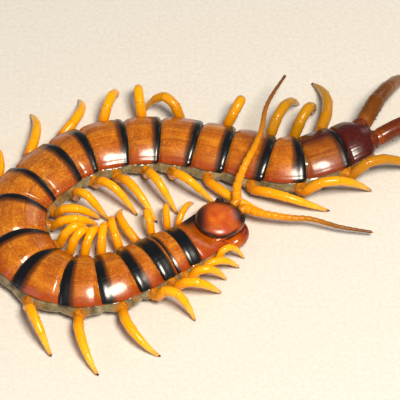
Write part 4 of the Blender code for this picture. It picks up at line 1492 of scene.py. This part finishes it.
    def leg(self, leg: Standing) -> None:
        """Makes a leg with its claw and spurs.

        Args:
            leg: the leg.
        """
        limb = self.limb(leg)
        name = f"leg_{leg.segment.number:02d}_{leg.side.word}"
        surface = Surface("horn_" + name)
        radii = tuple(limb.radius * share for share in self.taper)
        tube = JointedTube(limb.route, self.joints, radii, limb.across)
        tube.add_to(surface, self.hip_way(leg), leg.tone)
        ankle = limb.route.at(limb.route.length * self.joints[-1])
        tip = limb.foot + UP * self.tip_height
        surface.spike(ankle - (tip - ankle) * 0.12, tip, radii[-1] * 0.85, UP * self.claw_bow, 1, 10)
        down = (tip - ankle).normalized()
        for turn in (-1, 1):
            root = ankle + limb.across * (turn * radii[-1] * 0.6) - down * 0.1
            spur = root + down * self.spur_length + limb.across * (turn * 0.12)
            spur.z = max(spur.z, 0.05)
            surface.spike(root, spur, self.spur_radius, UP * 0.02, 1, 6)
        distance = limb.route.length * self.joints[self.thorn_joint]
        before = limb.route.direction(distance, SHORT_SPAN)
        root = limb.route.at(distance) - UP * (radii[self.thorn_joint] * 0.7) - before * 0.15
        root.z = max(root.z, 0.15)
        thorn = root + before * self.thorn_length - UP * 0.05
        surface.spike(root, thorn, self.thorn_radius, UP * 0.01, 1, 6)
        surface.piece([self.palette.leg, self.palette.claw], [name])

    def build(self) -> None:
        """Makes the legs, each a piece, and the hips as one piece."""
        hips = Surface("hips")
        for side, stances, tones in (
            (Side.LEFT, self.left, dict(self.left_tones)), (Side.RIGHT, self.right, dict(self.right_tones)),
        ):
            for segment, stance in zip(self.trunk.segments, stances):
                leg = Standing(segment, side, stance, tones.get(segment.number, (0.0, 0.0, 0.0)))
                self.hip(hips, leg)
                self.leg(leg)
        hips.piece([self.palette.hip])


@dataclass(frozen=True)
class LastLegs:
    """The stout last legs, which trail behind, with their thick hips and thorns."""

    trunk: Trunk
    palette: Palette
    # Where the articles meet, as shares of the leg, and the radius there as a share of the root's.
    joints: tuple[float, ...] = (0.0, 0.30, 0.55, 0.76, 0.89, 0.96)
    taper: tuple[float, ...] = (1.0, 0.96, 0.88, 0.76, 0.56, 0.36)
    length: float = 19.0
    radius: float = 1.55
    height: float = 3.2
    # How each stands: the turn to the animal's left in degrees, the reach, and the bow.
    left: Triple = (5.0, 17.6, 0.0)
    right: Triple = (-29.0, 17.6, 0.0)
    left_hip: float = 1.5
    right_hip: float = 2.1
    hip_share: float = 0.5
    hip_spread: float = 6.0
    hip_stub: float = 0.7
    hip_length: float = 3.6
    hip_sides: int = 24
    hip_shape: Pairs = ((0.0, 1.0), (0.3, 1.08), (0.6, 1.12), (0.85, 1.10), (0.95, 1.06), (1.0, 0.98))
    hip_tone: Triple = (0.0, 0.35, 0.6)
    left_tone: Triple = (0.0, 0.0, 0.05)
    right_tone: Triple = (0.15, 0.0, 0.0)
    # The spine under each hip's end, and the one at the corner of the first article's end.
    spine_length: float = 1.5
    spine_radius: float = 0.5
    corner_length: float = 0.95
    corner_radius: float = 0.26
    thorn_radius: float = 0.13
    # Thorns on the first article: how far along it, the turn round it in degrees, and the length.
    thorns: tuple[Triple, ...] = (
        (0.35, 200, 0.4), (0.55, 215, 0.4), (0.75, 205, 0.42), (0.30, 250, 0.38), (0.52, 262, 0.4),
        (0.74, 255, 0.42), (0.45, 25, 0.38), (0.68, 15, 0.4), (0.62, 70, 0.36), (0.40, 320, 0.38),
        (0.66, 332, 0.4),
    )

    def way(self, side: Side) -> Vector:
        """The level direction in which a last leg leaves the trunk."""
        turn = self.left[0] if side is Side.LEFT else self.right[0]
        limited = radians(turn * self.hip_share + side.value * self.hip_spread)
        back, left = self.trunk.way(self.trunk.end), self.trunk.left_of(self.trunk.end)
        return back * cos(limited) + left * sin(limited)

    def hip_end(self, side: Side) -> Vector:
        """The middle of the face that a last leg grows from."""
        left = self.left_hip if side is Side.LEFT else -self.right_hip
        return self.trunk.place(self.trunk.end, left, self.height) + self.way(side) * self.hip_stub

    def hip(self, surface: Surface, side: Side) -> None:
        """Adds a thick hip with the forked spine at its end.

        Args:
            surface: the hips' surface.
            side: its side.
        """
        way, end = self.way(side), self.hip_end(side)
        line = Route([end - way * self.hip_length, end])
        rings = swept(line, self.hip_shape, UP, self.radius, self.hip_sides)
        surface.skin(rings, [(share, share, 0.0) for share, _ in self.hip_shape], self.hip_tone)
        # The spine lies under the hip's end, and two small points end it.
        outer = self.trunk.left_of(self.trunk.end) * side.value
        root = end - way * 1.2 - UP * (self.radius * 0.75) + outer * 0.3
        surface.spike(root, root + way * self.spine_length - UP * 0.1, self.spine_radius, UP * -0.06, 0, 12)
        for aside in (-0.1, 0.1):
            base = root + way * (self.spine_length - 0.25) + outer * aside
            point = root + way * (self.spine_length + 0.2) + outer * (aside * 2)
            surface.spike(base, point, 0.1, UP * 0.01, 1)

    def leg(self, side: Side) -> None:
        """Makes a last leg with its thorns and claw.

        Args:
            side: its side.
        """
        way = self.way(side)
        stance = self.left if side is Side.LEFT else self.right
        back, left = self.trunk.way(self.trunk.end), self.trunk.left_of(self.trunk.end)
        limb = Limb(self.hip_end(side) + way * GAP, back, left, stance, self.length, self.radius)
        name = f"leg_{LAST}_{side.word}"
        surface = Surface("horn_" + name)
        radii = tuple(self.radius * share for share in self.taper)
        tube = JointedTube(limb.route, self.joints, radii, limb.across, sides=24)
        tube.add_to(surface, way, self.left_tone if side is Side.LEFT else self.right_tone, sunk=0.6)
        first_end = limb.route.at(limb.route.length * self.joints[1])
        first_way = (first_end - limb.root).normalized()
        upright = limb.across.cross(first_way).normalized()
        for share, degrees, length in self.thorns:
            turn = radians(degrees)
            out = (limb.across * (cos(turn) * side.value) + upright * sin(turn)).normalized()
            radius = self.radius * (1 - 0.08 * share)
            root = limb.root.lerp(first_end, share) + out * (radius * 0.9)
            thorn = root + out * length + first_way * 0.22
            surface.spike(root, thorn, self.thorn_radius, first_way * -0.02, 1)
        # The corner spine at the first article's end, on its inner upper edge, and its dark point.
        inwards = limb.across * -side.value
        corner = first_end - first_way * 0.5 + upright * (self.radius * 0.55) + inwards * 0.75
        spine = corner + first_way * self.corner_length + inwards * 0.15
        surface.spike(corner, spine, self.corner_radius, upright * 0.05)
        surface.spike(corner + first_way * 0.8, corner + first_way * 1.15, 0.08, upright * 0.01, 1)
        ankle = limb.route.at(limb.route.length * self.joints[-1])
        tip = limb.foot + UP * WalkingLegs.tip_height
        surface.spike(ankle - (tip - ankle) * 0.2, tip, radii[-1] * 0.9, UP * 0.1, 1, 12)
        surface.piece([self.palette.last_leg, self.palette.claw], [name])

    def build(self) -> None:
        """Makes both legs, and their hips as one piece."""
        hips = Surface("last_hips")
        for side in Side:
            self.hip(hips, side)
            self.leg(side)
        hips.piece([self.palette.last_leg, self.palette.claw])


@dataclass(frozen=True)
class Head:
    """The head with its plate, eyes, feelers, palps and poison claws.

    Its own axes start on the floor under the neck, with x forward and y to the animal's left.
    """

    trunk: Trunk
    palette: Palette
    turn: float = 46.0
    plate_centre: float = 3.1
    plate_half_length: float = 4.3
    plate_half_width: float = 4.05
    plate_base: float = 4.1
    plate_slope: float = 0.12
    plate_sides: int = 96
    plate_squareness: float = 2.06
    # The plate's section: shares of the way out to its rim, with heights over its underside.
    plate_profile: Pairs = (
        (0.02, 2.0), (0.2, 1.97), (0.5, 1.80), (0.75, 1.46), (0.9, 1.06), (0.98, 0.63), (1.0, 0.27),
        (0.985, 0.07), (0.93, 0.0), (0.7, 0.04), (0.45, 0.1),
    )
    # The notch in its front and the furrow behind that: depths and half-widths. The dents beside the furrow:
    # how deep, how far out in millimetres, and how far forward as a share.
    notch: tuple[float, float] = (0.2, 0.55)
    furrow: tuple[float, float] = (0.05, 0.12)
    dent: Triple = (0.06, 1.3, 0.55)
    # The capsule, the upper lip and the claw base: each has a half-width, bottom and top where it starts, and
    # places forward with the same three.
    rear: Triple = (2.9, 2.7, 3.9)
    stations: Stations = (
        (1.6, 3.4, 2.7, 4.4), (3.4, 3.5, 2.7, 4.4), (5.2, 3.0, 2.7, 4.1), (6.3, 2.3, 2.8, 3.8),
        (6.9, 1.3, 2.9, 3.6), (7.05, 0.6, 3.05, 3.4),
    )
    lip_rear: Triple = (0.5, 2.6, 2.9)
    lip_stations: Stations = ((6.6, 1.1, 2.5, 3.1), (7.0, 1.0, 2.45, 3.0), (7.25, 0.5, 2.5, 2.85))
    jaw_rear: Triple = (1.955, 0.8, 2.35)
    jaw_stations: Stations = (
        (1.3, 1.955, 0.8, 2.35), (3.0, 1.955, 0.8, 2.35), (3.9, 1.38, 0.85, 2.3), (4.15, 0.8, 1.1, 2.1),
    )
    body_squareness: float = 2.6
    # Where the claw base's side arms start, and their shape.
    arm_root: tuple[float, float] = (1.25, 1.3)
    arm_shape: Pairs = ((0.0, 0.85), (0.5, 0.95), (0.85, 1.0), (1.0, 0.92))
    # Its teeth on a side: how many, the inmost one's place, the steps forward and out to the next ones, and
    # their length and radius.
    teeth: int = 4
    tooth_place: Triple = (4.0, 0.22, 1.35)
    tooth_steps: tuple[float, float] = (-0.05, 0.28)
    tooth_length: float = 0.45
    tooth_radius: float = 0.15
    # A poison claw's line, and its radii at shares of that line.
    claw_line: tuple[Triple, ...] = (
        (1.5, 3.4, 1.5), (2.6, 3.95, 1.6), (4.0, 3.95, 1.6), (5.4, 3.25, 1.5), (6.5, 2.0, 1.45),
        (7.0, 0.5, 1.4),
    )
    claw_radii: Pairs = (
        (0.0, 0.86), (0.04, 0.95), (0.2, 1.2), (0.34, 1.24), (0.445, 1.18), (0.455, 1.06), (0.47, 1.12),
        (0.515, 1.08), (0.525, 0.96), (0.54, 1.01), (0.585, 0.96), (0.595, 0.84), (0.62, 0.88), (0.75, 0.58),
        (0.87, 0.33), (0.96, 0.15), (1.0, 0.05),
    )
    claw_hinges: Triple = (0.452, 0.522, 0.592)
    claw_rows: int = 60
    claw_sides: int = 28
    # The blunt tooth on its stout article.
    blunt_length: float = 0.5
    blunt_radius: float = 0.28
    left_feeler: tuple[Triple, ...] = (
        (6.3, -0.5, 3.7), (6.3, 1.2, 5.4), (7.6, 3.7, 7.8), (9.4, 7.3, 8.8),
        (10.6, 10.9, 9.2), (11.2, 15.0, 9.2), (12.5, 18.9, 8.8), (14.9, 24.2, 8.0),
    )
    right_feeler: tuple[Triple, ...] = (
        (7.6, -2.2, 3.5), (10.5, -3.5, 3.6), (15.2, -4.1, 3.2), (18.7, -4.2, 3.0), (23.6, -5.4, 2.4),
        (29.0, -5.9, 1.6),
    )
    feeler_bead: Pairs = (
        (0.0, 0.84), (0.06, 0.86), (0.16, 0.93), (0.35, 0.98), (0.62, 1.02), (0.84, 1.03), (0.94, 1.0),
        (0.98, 0.92),
    )
    feeler_articles: int = 19
    feeler_radius: float = 0.85
    feeler_tip: float = 0.25
    socket_root: Triple = (6.2, 0.95, 3.3)
    socket_shape: Pairs = ((0.0, 0.7), (0.5, 0.8), (0.8, 0.94), (0.93, 0.98), (1.0, 0.9))
    cup_sides: int = 24
    palp_line: tuple[Triple, ...] = ((5.2, 1.5, 2.6), (6.6, 1.7, 2.3), (7.7, 1.3, 2.0), (8.3, 0.6, 1.9))
    palp_joints: tuple[float, ...] = (0.0, 0.42, 0.75, 1.0)
    palp_radii: tuple[float, ...] = (0.45, 0.40, 0.32, 0.22)
    eye_place: tuple[float, float] = (5.85, 2.75)
    eye_height: float = 0.85
    eye_mound: Triple = (0.8, 0.42, 0.5)
    eye_turn: float = 48.0
    eye_lenses: Pairs = ((0.4, 0.22), (0.02, 0.3), (-0.36, 0.2), (0.1, -0.12))
    eye_lens: float = 0.21
    eye_lens_height: float = 0.34

    @cached_property
    def forward(self) -> Vector:
        """The direction in which the head looks."""
        return Vector((cos(radians(self.turn)), sin(radians(self.turn)), 0.0))

    @cached_property
    def leftward(self) -> Vector:
        """The direction to its left."""
        return UP.cross(self.forward)

    def place(self, forward: float, left: float, height: float) -> Vector:
        """A point given on the head's own axes."""
        return self.trunk.route.at(0.0) + self.forward * forward + self.leftward * left + UP * height

    def mirrored(self, line: Sequence[Triple], side: Side) -> list[Vector]:
        """A line given for the left side, on either side."""
        return [self.place(forward, side.value * out, height) for forward, out, height in line]

    def plate_height(self, forward: float) -> float:
        """The height of the head plate's underside, which slopes down to the front."""
        return self.plate_base - self.plate_slope * (forward - self.plate_centre + self.plate_half_length)

    def plate(self, surface: Surface) -> None:
        """Adds the nearly round plate, notched in front, with a short furrow and shallow dents.

        Args:
            surface: the head's surface.
        """
        notch_depth, notch_width = self.notch
        furrow_depth, furrow_width = self.furrow
        dent_depth, dent_out, dent_ahead = self.dent
        rings, places = [], []
        for spread, rise in smooth_curve(self.plate_profile, 6):
            ring, marks = [], []
            for k in range(self.plate_sides):
                turn = 2 * pi * (k + 0.5) / self.plate_sides
                ahead, aside = (part * spread for part in squared(turn, self.plate_squareness))
                left = self.plate_half_width * aside
                forward = self.plate_centre + self.plate_half_length * ahead
                forward -= notch_depth * bump(0.0, notch_width, left) * smoothstep(0.8, 1.0, ahead)
                furrow = furrow_depth * bump(0.0, furrow_width, left)
                furrow *= smoothstep(0.25, 0.5, ahead) * smoothstep(0.97, 0.85, ahead)
                dents = dent_depth * bump(dent_out, 0.5, abs(left)) * bump(dent_ahead, 0.2, ahead)
                wave = 0.04 * noise.noise(Vector((forward, left, 3.0)) * 0.6)
                raised = (wave - furrow - dents) * smoothstep(0.0, 0.4, rise)
                height = self.plate_height(forward) + rise + raised
                ring.append(self.place(forward, left, height))
                marks.append((ahead, aside, spread))
            rings.append(ring)
            places.append(marks)
        surface.skin(rings, places)

    def squared_rings(self, rear: Triple, stations: Stations, sides: int = 48) -> list[list[Vector]]:
        """Rings of a body with flattened sides, from the trunk's front face forwards.

        Args:
            rear: half-width, bottom and top at the trunk.
            stations: places forward, each with half-width, bottom and top.
            sides: how many points go round a ring.

        Returns:
            The rings.
        """
        outline = [squared(2 * pi * (k + 0.5) / sides, self.body_squareness) for k in range(sides)]

        def section(half: float, bottom: float, top: float) -> Pairs:
            """Sizes the outline.

            Args:
                half: its half-width.
                bottom: the height of its lower side.
                top: the height of its upper side.

            Returns:
                Its points' distances to the left, with their heights.
            """
            middle, rise = (bottom + top) / 2, (top - bottom) / 2
            return tuple((half * across, middle + rise * upward) for across, upward in outline)

        rings = [[self.trunk.place(GAP / 2, left, height) for left, height in section(*rear)]]
        for forward, *sizes in smooth_curve(stations, 6):
            rings.append([self.place(forward, left, height) for left, height in section(*sizes)])
        return rings

    def feeler_route(self, side: Side) -> Route:
        """The line of a feeler."""
        return Route(smooth_curve(self.left_feeler if side is Side.LEFT else self.right_feeler))

    def shell(self) -> None:
        """Makes the head's plate, capsule, feeler sockets and upper lip as one piece."""
        surface = Surface("head_shell")
        self.plate(surface)
        rings = self.squared_rings(self.rear, self.stations)
        # Their places put the head shell's painted shade on the capsule, deepening towards its front.
        surface.skin(rings, [(0.1 + 0.9 * k / len(rings), 0.0, 0.55) for k in range(len(rings))])
        for side in Side:
            route = self.feeler_route(side)
            way = route.direction(self.feeler_radius)
            (root,) = self.mirrored([self.socket_root], side)
            start = route.at(0.0) + way * 0.05
            line = Route(bezier_curve(root, root.lerp(start, 0.4), start - way * 0.4, start))
            cup = swept(line, self.socket_shape, self.leftward, self.feeler_radius, self.cup_sides)
            surface.skin(cup, [(0.02, 0.5, 0.0)] * len(cup), (0.0, 0.3, 0.1), 1)
        lip = self.squared_rings(self.lip_rear, self.lip_stations, self.cup_sides)[1:]
        # Its place gives the lip, under the plate's front, nearly the full painted shade of the head shell.
        surface.skin(lip, [(0.9, 0.0, 0.8)] * len(lip))
        surface.piece([self.palette.head, self.palette.feeler], ["head"])

    def palps(self) -> None:
        """Makes the two short palps folded forwards under the head's front."""
        surface = Surface("palps")
        for side in Side:
            line = self.mirrored(self.palp_line, side)
            route = Route(smooth_curve(line, 8))
            tube = JointedTube(route, self.palp_joints, self.palp_radii, self.leftward, 16)
            tube.add_to(surface, (line[1] - line[0]).normalized(), (0.0, 0.15, 0.1))
            way = (line[-1] - line[-2]).normalized()
            surface.spike(line[-1] - way * 0.1, line[-1] + way * 0.35, 0.12, UP * -0.03, 1)
        surface.piece([self.palette.feeler, self.palette.claw])

    def ocelli(self, side: Side) -> None:
        """Makes the low mound with four glossy eyes on one side.

        Args:
            side: its side.
        """
        turn = radians(self.turn - side.value * self.eye_turn)
        long = Vector((cos(turn), sin(turn), 0.0))
        wide = UP.cross(long)
        forward, out = self.eye_place
        centre = self.place(forward, side.value * out, self.plate_height(forward) + self.eye_height)
        surface = Surface(f"ocelli_{side.word}")
        length, width, height = self.eye_mound
        surface.ball(centre, (long * length, wide * width, UP * height), 0, 32)
        for onward, over in self.eye_lenses:
            spot = centre + long * onward + wide * (side.value * over) + UP * self.eye_lens_height
            surface.ball(spot, [axis * self.eye_lens for axis in (long, wide, UP)], 1, 20)
        surface.piece([self.palette.mound, self.palette.eye], [f"eyes_{side.word}"])

    def feeler(self, side: Side) -> None:
        """Makes a feeler of bead-like articles with a rounded tip.

        Args:
            side: its side.
        """
        route = self.feeler_route(side)
        way = route.direction(self.feeler_radius)
        joints = tuple(k / self.feeler_articles for k in range(self.feeler_articles + 1))
        thinning = self.feeler_tip - self.feeler_radius
        radii = tuple(self.feeler_radius + thinning * share**0.7 for share in joints)
        tube = JointedTube(route, joints, radii, self.leftward, 16, 0.8, article=self.feeler_bead)
        surface = Surface(f"feeler_horn_{side.word}")
        tube.add_to(surface, way, (0.0, 0.0, 0.0))
        end = route.at(route.length)
        tip_way = (end - route.at(route.length * 0.98)).normalized()
        axes = (self.leftward * self.feeler_tip, UP * self.feeler_tip, tip_way * self.feeler_tip * 1.3)
        surface.ball(end - tip_way * 0.1, axes, 0, 12)
        surface.piece([self.palette.feeler], [f"antenna_{side.word}"])

    def jaw_base(self) -> None:
        """Makes the plate under the head that carries the poison claws, with its two rows of teeth."""
        surface = Surface("claw_base")
        rings = self.squared_rings(self.jaw_rear, self.jaw_stations)
        surface.skin(rings, [(0.2, 0.0, 0.5)] * len(rings))
        for side in Side:
            start, way = self.claw_root(side)
            forward, out = self.arm_root
            inside = self.place(forward, side.value * out, self.claw_line[0][2])
            line = Route(bezier_curve(inside, inside.lerp(start, 0.5), start - way * 0.5, start))
            arm = swept(line, self.arm_shape, UP, 1.0, self.cup_sides)
            surface.skin(arm, [(0.2, 0.0, 0.5)] * len(arm))
            forward, out, height = self.tooth_place
            ahead, apart = self.tooth_steps
            for k in range(self.teeth):
                root = self.place(forward + ahead * k, side.value * (out + apart * k), height)
                surface.spike(root, root + self.forward * self.tooth_length, self.tooth_radius, UP * -0.02, 1)
        surface.piece([self.palette.head, self.palette.claw], ["forcipule_base"])

    def claw_root(self, side: Side) -> tuple[Vector, Vector]:
        """Where a poison claw starts, and its direction there."""
        first, second = self.mirrored(self.claw_line[:2], side)
        return first, (second - first).normalized()

    def poison_claw(self, side: Side) -> None:
        """Makes a poison claw: a stout article, two narrow ones and the curved fang.

        Args:
            side: its side.
        """
        route = Route(smooth_curve(self.mirrored(self.claw_line, side)))
        start, way = self.claw_root(side)
        surface = Surface(f"poison_claw_{side.word}")
        evenly = {k / self.claw_rows for k in range(self.claw_rows + 1)}
        rings, places = [], []
        for share in sorted(evenly | {share for share, _ in self.claw_radii}):
            centre = route.at(route.length * share)
            turned = route.direction(route.length * share, SHORT_SPAN)
            if share < 0.03:
                # The root reaches back into the claw base.
                centre, turned = start - way * (0.4 - share * 12), way
            rings.append(limb_ring(centre, turned, UP, along(self.claw_radii, share), self.claw_sides))
            hinge = max(bump(joint, 0.012, share) for joint in self.claw_hinges)
            places.append((share, 0.9 + 0.1 * hinge, 0.0))
        surface.skin(rings, places)
        # A blunt tooth on the stout article's inner side.
        forward, out, height = self.claw_line[2]
        root = self.place(forward + 0.1, side.value * (out - 0.75), height)
        tip = root - self.leftward * (side.value * self.blunt_length) + self.forward * 0.15
        surface.spike(root, tip, self.blunt_radius, UP * 0.02)
        surface.piece([self.palette.fang], [f"forcipule_{side.word}"])

    def build(self) -> None:
        """Makes all of the head's pieces."""
        self.shell()
        self.palps()
        self.jaw_base()
        for side in Side:
            self.ocelli(side)
            self.feeler(side)
            self.poison_claw(side)


@dataclass(frozen=True)
class Lamp:
    """A soft round light that faces the model, in metres and watts."""

    name: str
    place: Triple
    size: float
    power: float
    code: str


@dataclass(frozen=True)
class Studio:
    """The floor, the lights and the camera, which looks along +y. Sizes are in metres where none is named."""

    # The camera aims at this height in millimetres, from this elevation in degrees and this distance.
    look_height: float = 3.0
    elevation: float = 50.0
    distance: float = 0.38
    # A pixel's size at the model in millimetres, the picture's width in pixels, and the sensor's.
    pixel: float = 0.17
    frame_pixels: int = 400
    sensor: float = 36.0
    floor_half: float = 1.5
    # The paper's tooth: its waves in a metre, its depth, and how strongly it shades.
    tooth: Triple = (1500.0, 0.00003, 0.4)
    paper_rough: float = 0.85
    lamps: tuple[Lamp, ...] = (
        Lamp("key", (0.10, -0.21, 0.42), 0.16, 3.1, "#FFF4E4"),
        Lamp("fill", (-0.45, -0.30, 0.28), 0.30, 0.35, "#E6EEFF"),
        Lamp("back", (0.30, 0.42, 0.30), 0.25, 0.22, "#FFFFFF"),
    )
    air: str = "#C9D0D8"
    air_strength: float = 0.24

    def floor(self) -> None:
        """Makes the plain pale floor: a sheet of matt paper with a faint tooth of about 0.7 mm."""
        material = bpy.data.materials.new("matt_paper")
        material.use_nodes = True
        tree = material.node_tree
        shader = tree.nodes["Principled BSDF"]
        waves, depth, strength = self.tooth
        where = add_node(tree, "TexCoord", {}, 3)
        rise = add_node(tree, "TexNoise", {"Vector": where, "Scale": waves, "Detail": 3.0})
        stops = ((0.3, "#D8D3CA"), (0.7, "#E2DED6"))
        tree.links.new(add_node(tree, "ValToRGB", {0: rise}, stops=stops), shader.inputs["Base Color"])
        raised = {"Strength": strength, "Distance": depth, "Height": rise}
        tree.links.new(add_node(tree, "Bump", raised), shader.inputs["Normal"])
        shader.inputs["Roughness"].default_value = self.paper_rough
        mesh = bpy.data.meshes.new("floor")
        half = self.floor_half
        corners = [(-half, -half, 0), (half, -half, 0), (half, half, 0), (-half, half, 0)]
        mesh.from_pydata(corners, [], [(0, 1, 2, 3)])
        mesh.materials.append(material)
        sheet = bpy.data.objects.new("floor", mesh)
        bpy.context.scene.collection.objects.link(sheet)

    def light(self, lamp: Lamp) -> None:
        """Hangs a lamp.

        Args:
            lamp: the lamp.
        """
        data = bpy.data.lights.new(lamp.name, "AREA")
        data.shape = "DISK"
        data.size = lamp.size
        data.energy = lamp.power
        data.color = linear(lamp.code)[:3]
        hung = bpy.data.objects.new(lamp.name, data)
        hung.location = lamp.place
        hung.rotation_euler = (-Vector(lamp.place)).to_track_quat("-Z", "Y").to_euler()
        bpy.context.scene.collection.objects.link(hung)

    def camera(self) -> None:
        """Sets up the camera."""
        data = bpy.data.cameras.new("camera")
        data.sensor_fit = "HORIZONTAL"
        data.sensor_width = self.sensor
        data.lens = self.sensor * (self.distance / (self.pixel * MM)) / self.frame_pixels
        data.clip_start, data.clip_end = 0.01, 10.0
        camera = bpy.data.objects.new("camera", data)
        back = Vector((0.0, -cos(radians(self.elevation)), sin(radians(self.elevation))))
        camera.location = (SHIFT + UP * self.look_height) * MM + back * self.distance
        camera.rotation_euler = (-back).to_track_quat("-Z", "Y").to_euler()
        bpy.context.scene.collection.objects.link(camera)
        bpy.context.scene.camera = camera

    def build(self) -> None:
        """Makes the whole studio."""
        self.floor()
        for lamp in self.lamps:
            self.light(lamp)
        world = bpy.data.worlds.new("studio_air")
        world.use_nodes = True
        glow = world.node_tree.nodes["Background"]
        glow.inputs["Color"].default_value = linear(self.air)
        glow.inputs["Strength"].default_value = self.air_strength
        bpy.context.scene.world = world
        bpy.context.scene.view_settings.view_transform = "Standard"
        self.camera()


def main() -> None:
    """Builds the animal and its studio."""
    logging.basicConfig(level=logging.INFO, format="%(name)s %(message)s")
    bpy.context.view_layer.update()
    trunk = Trunk()
    palette = Palette.mixed()
    Studio().build()
    SideFlesh(trunk, palette).build()
    plates = BackPlates(trunk, palette)
    for segment in trunk.segments:
        plates.build(segment)
    BellyPlates(trunk, palette).build()
    WalkingLegs(trunk, palette).build()
    LastLegs(trunk, palette).build()
    Head(trunk, palette).build()


if __name__ == "__main__":
    main()
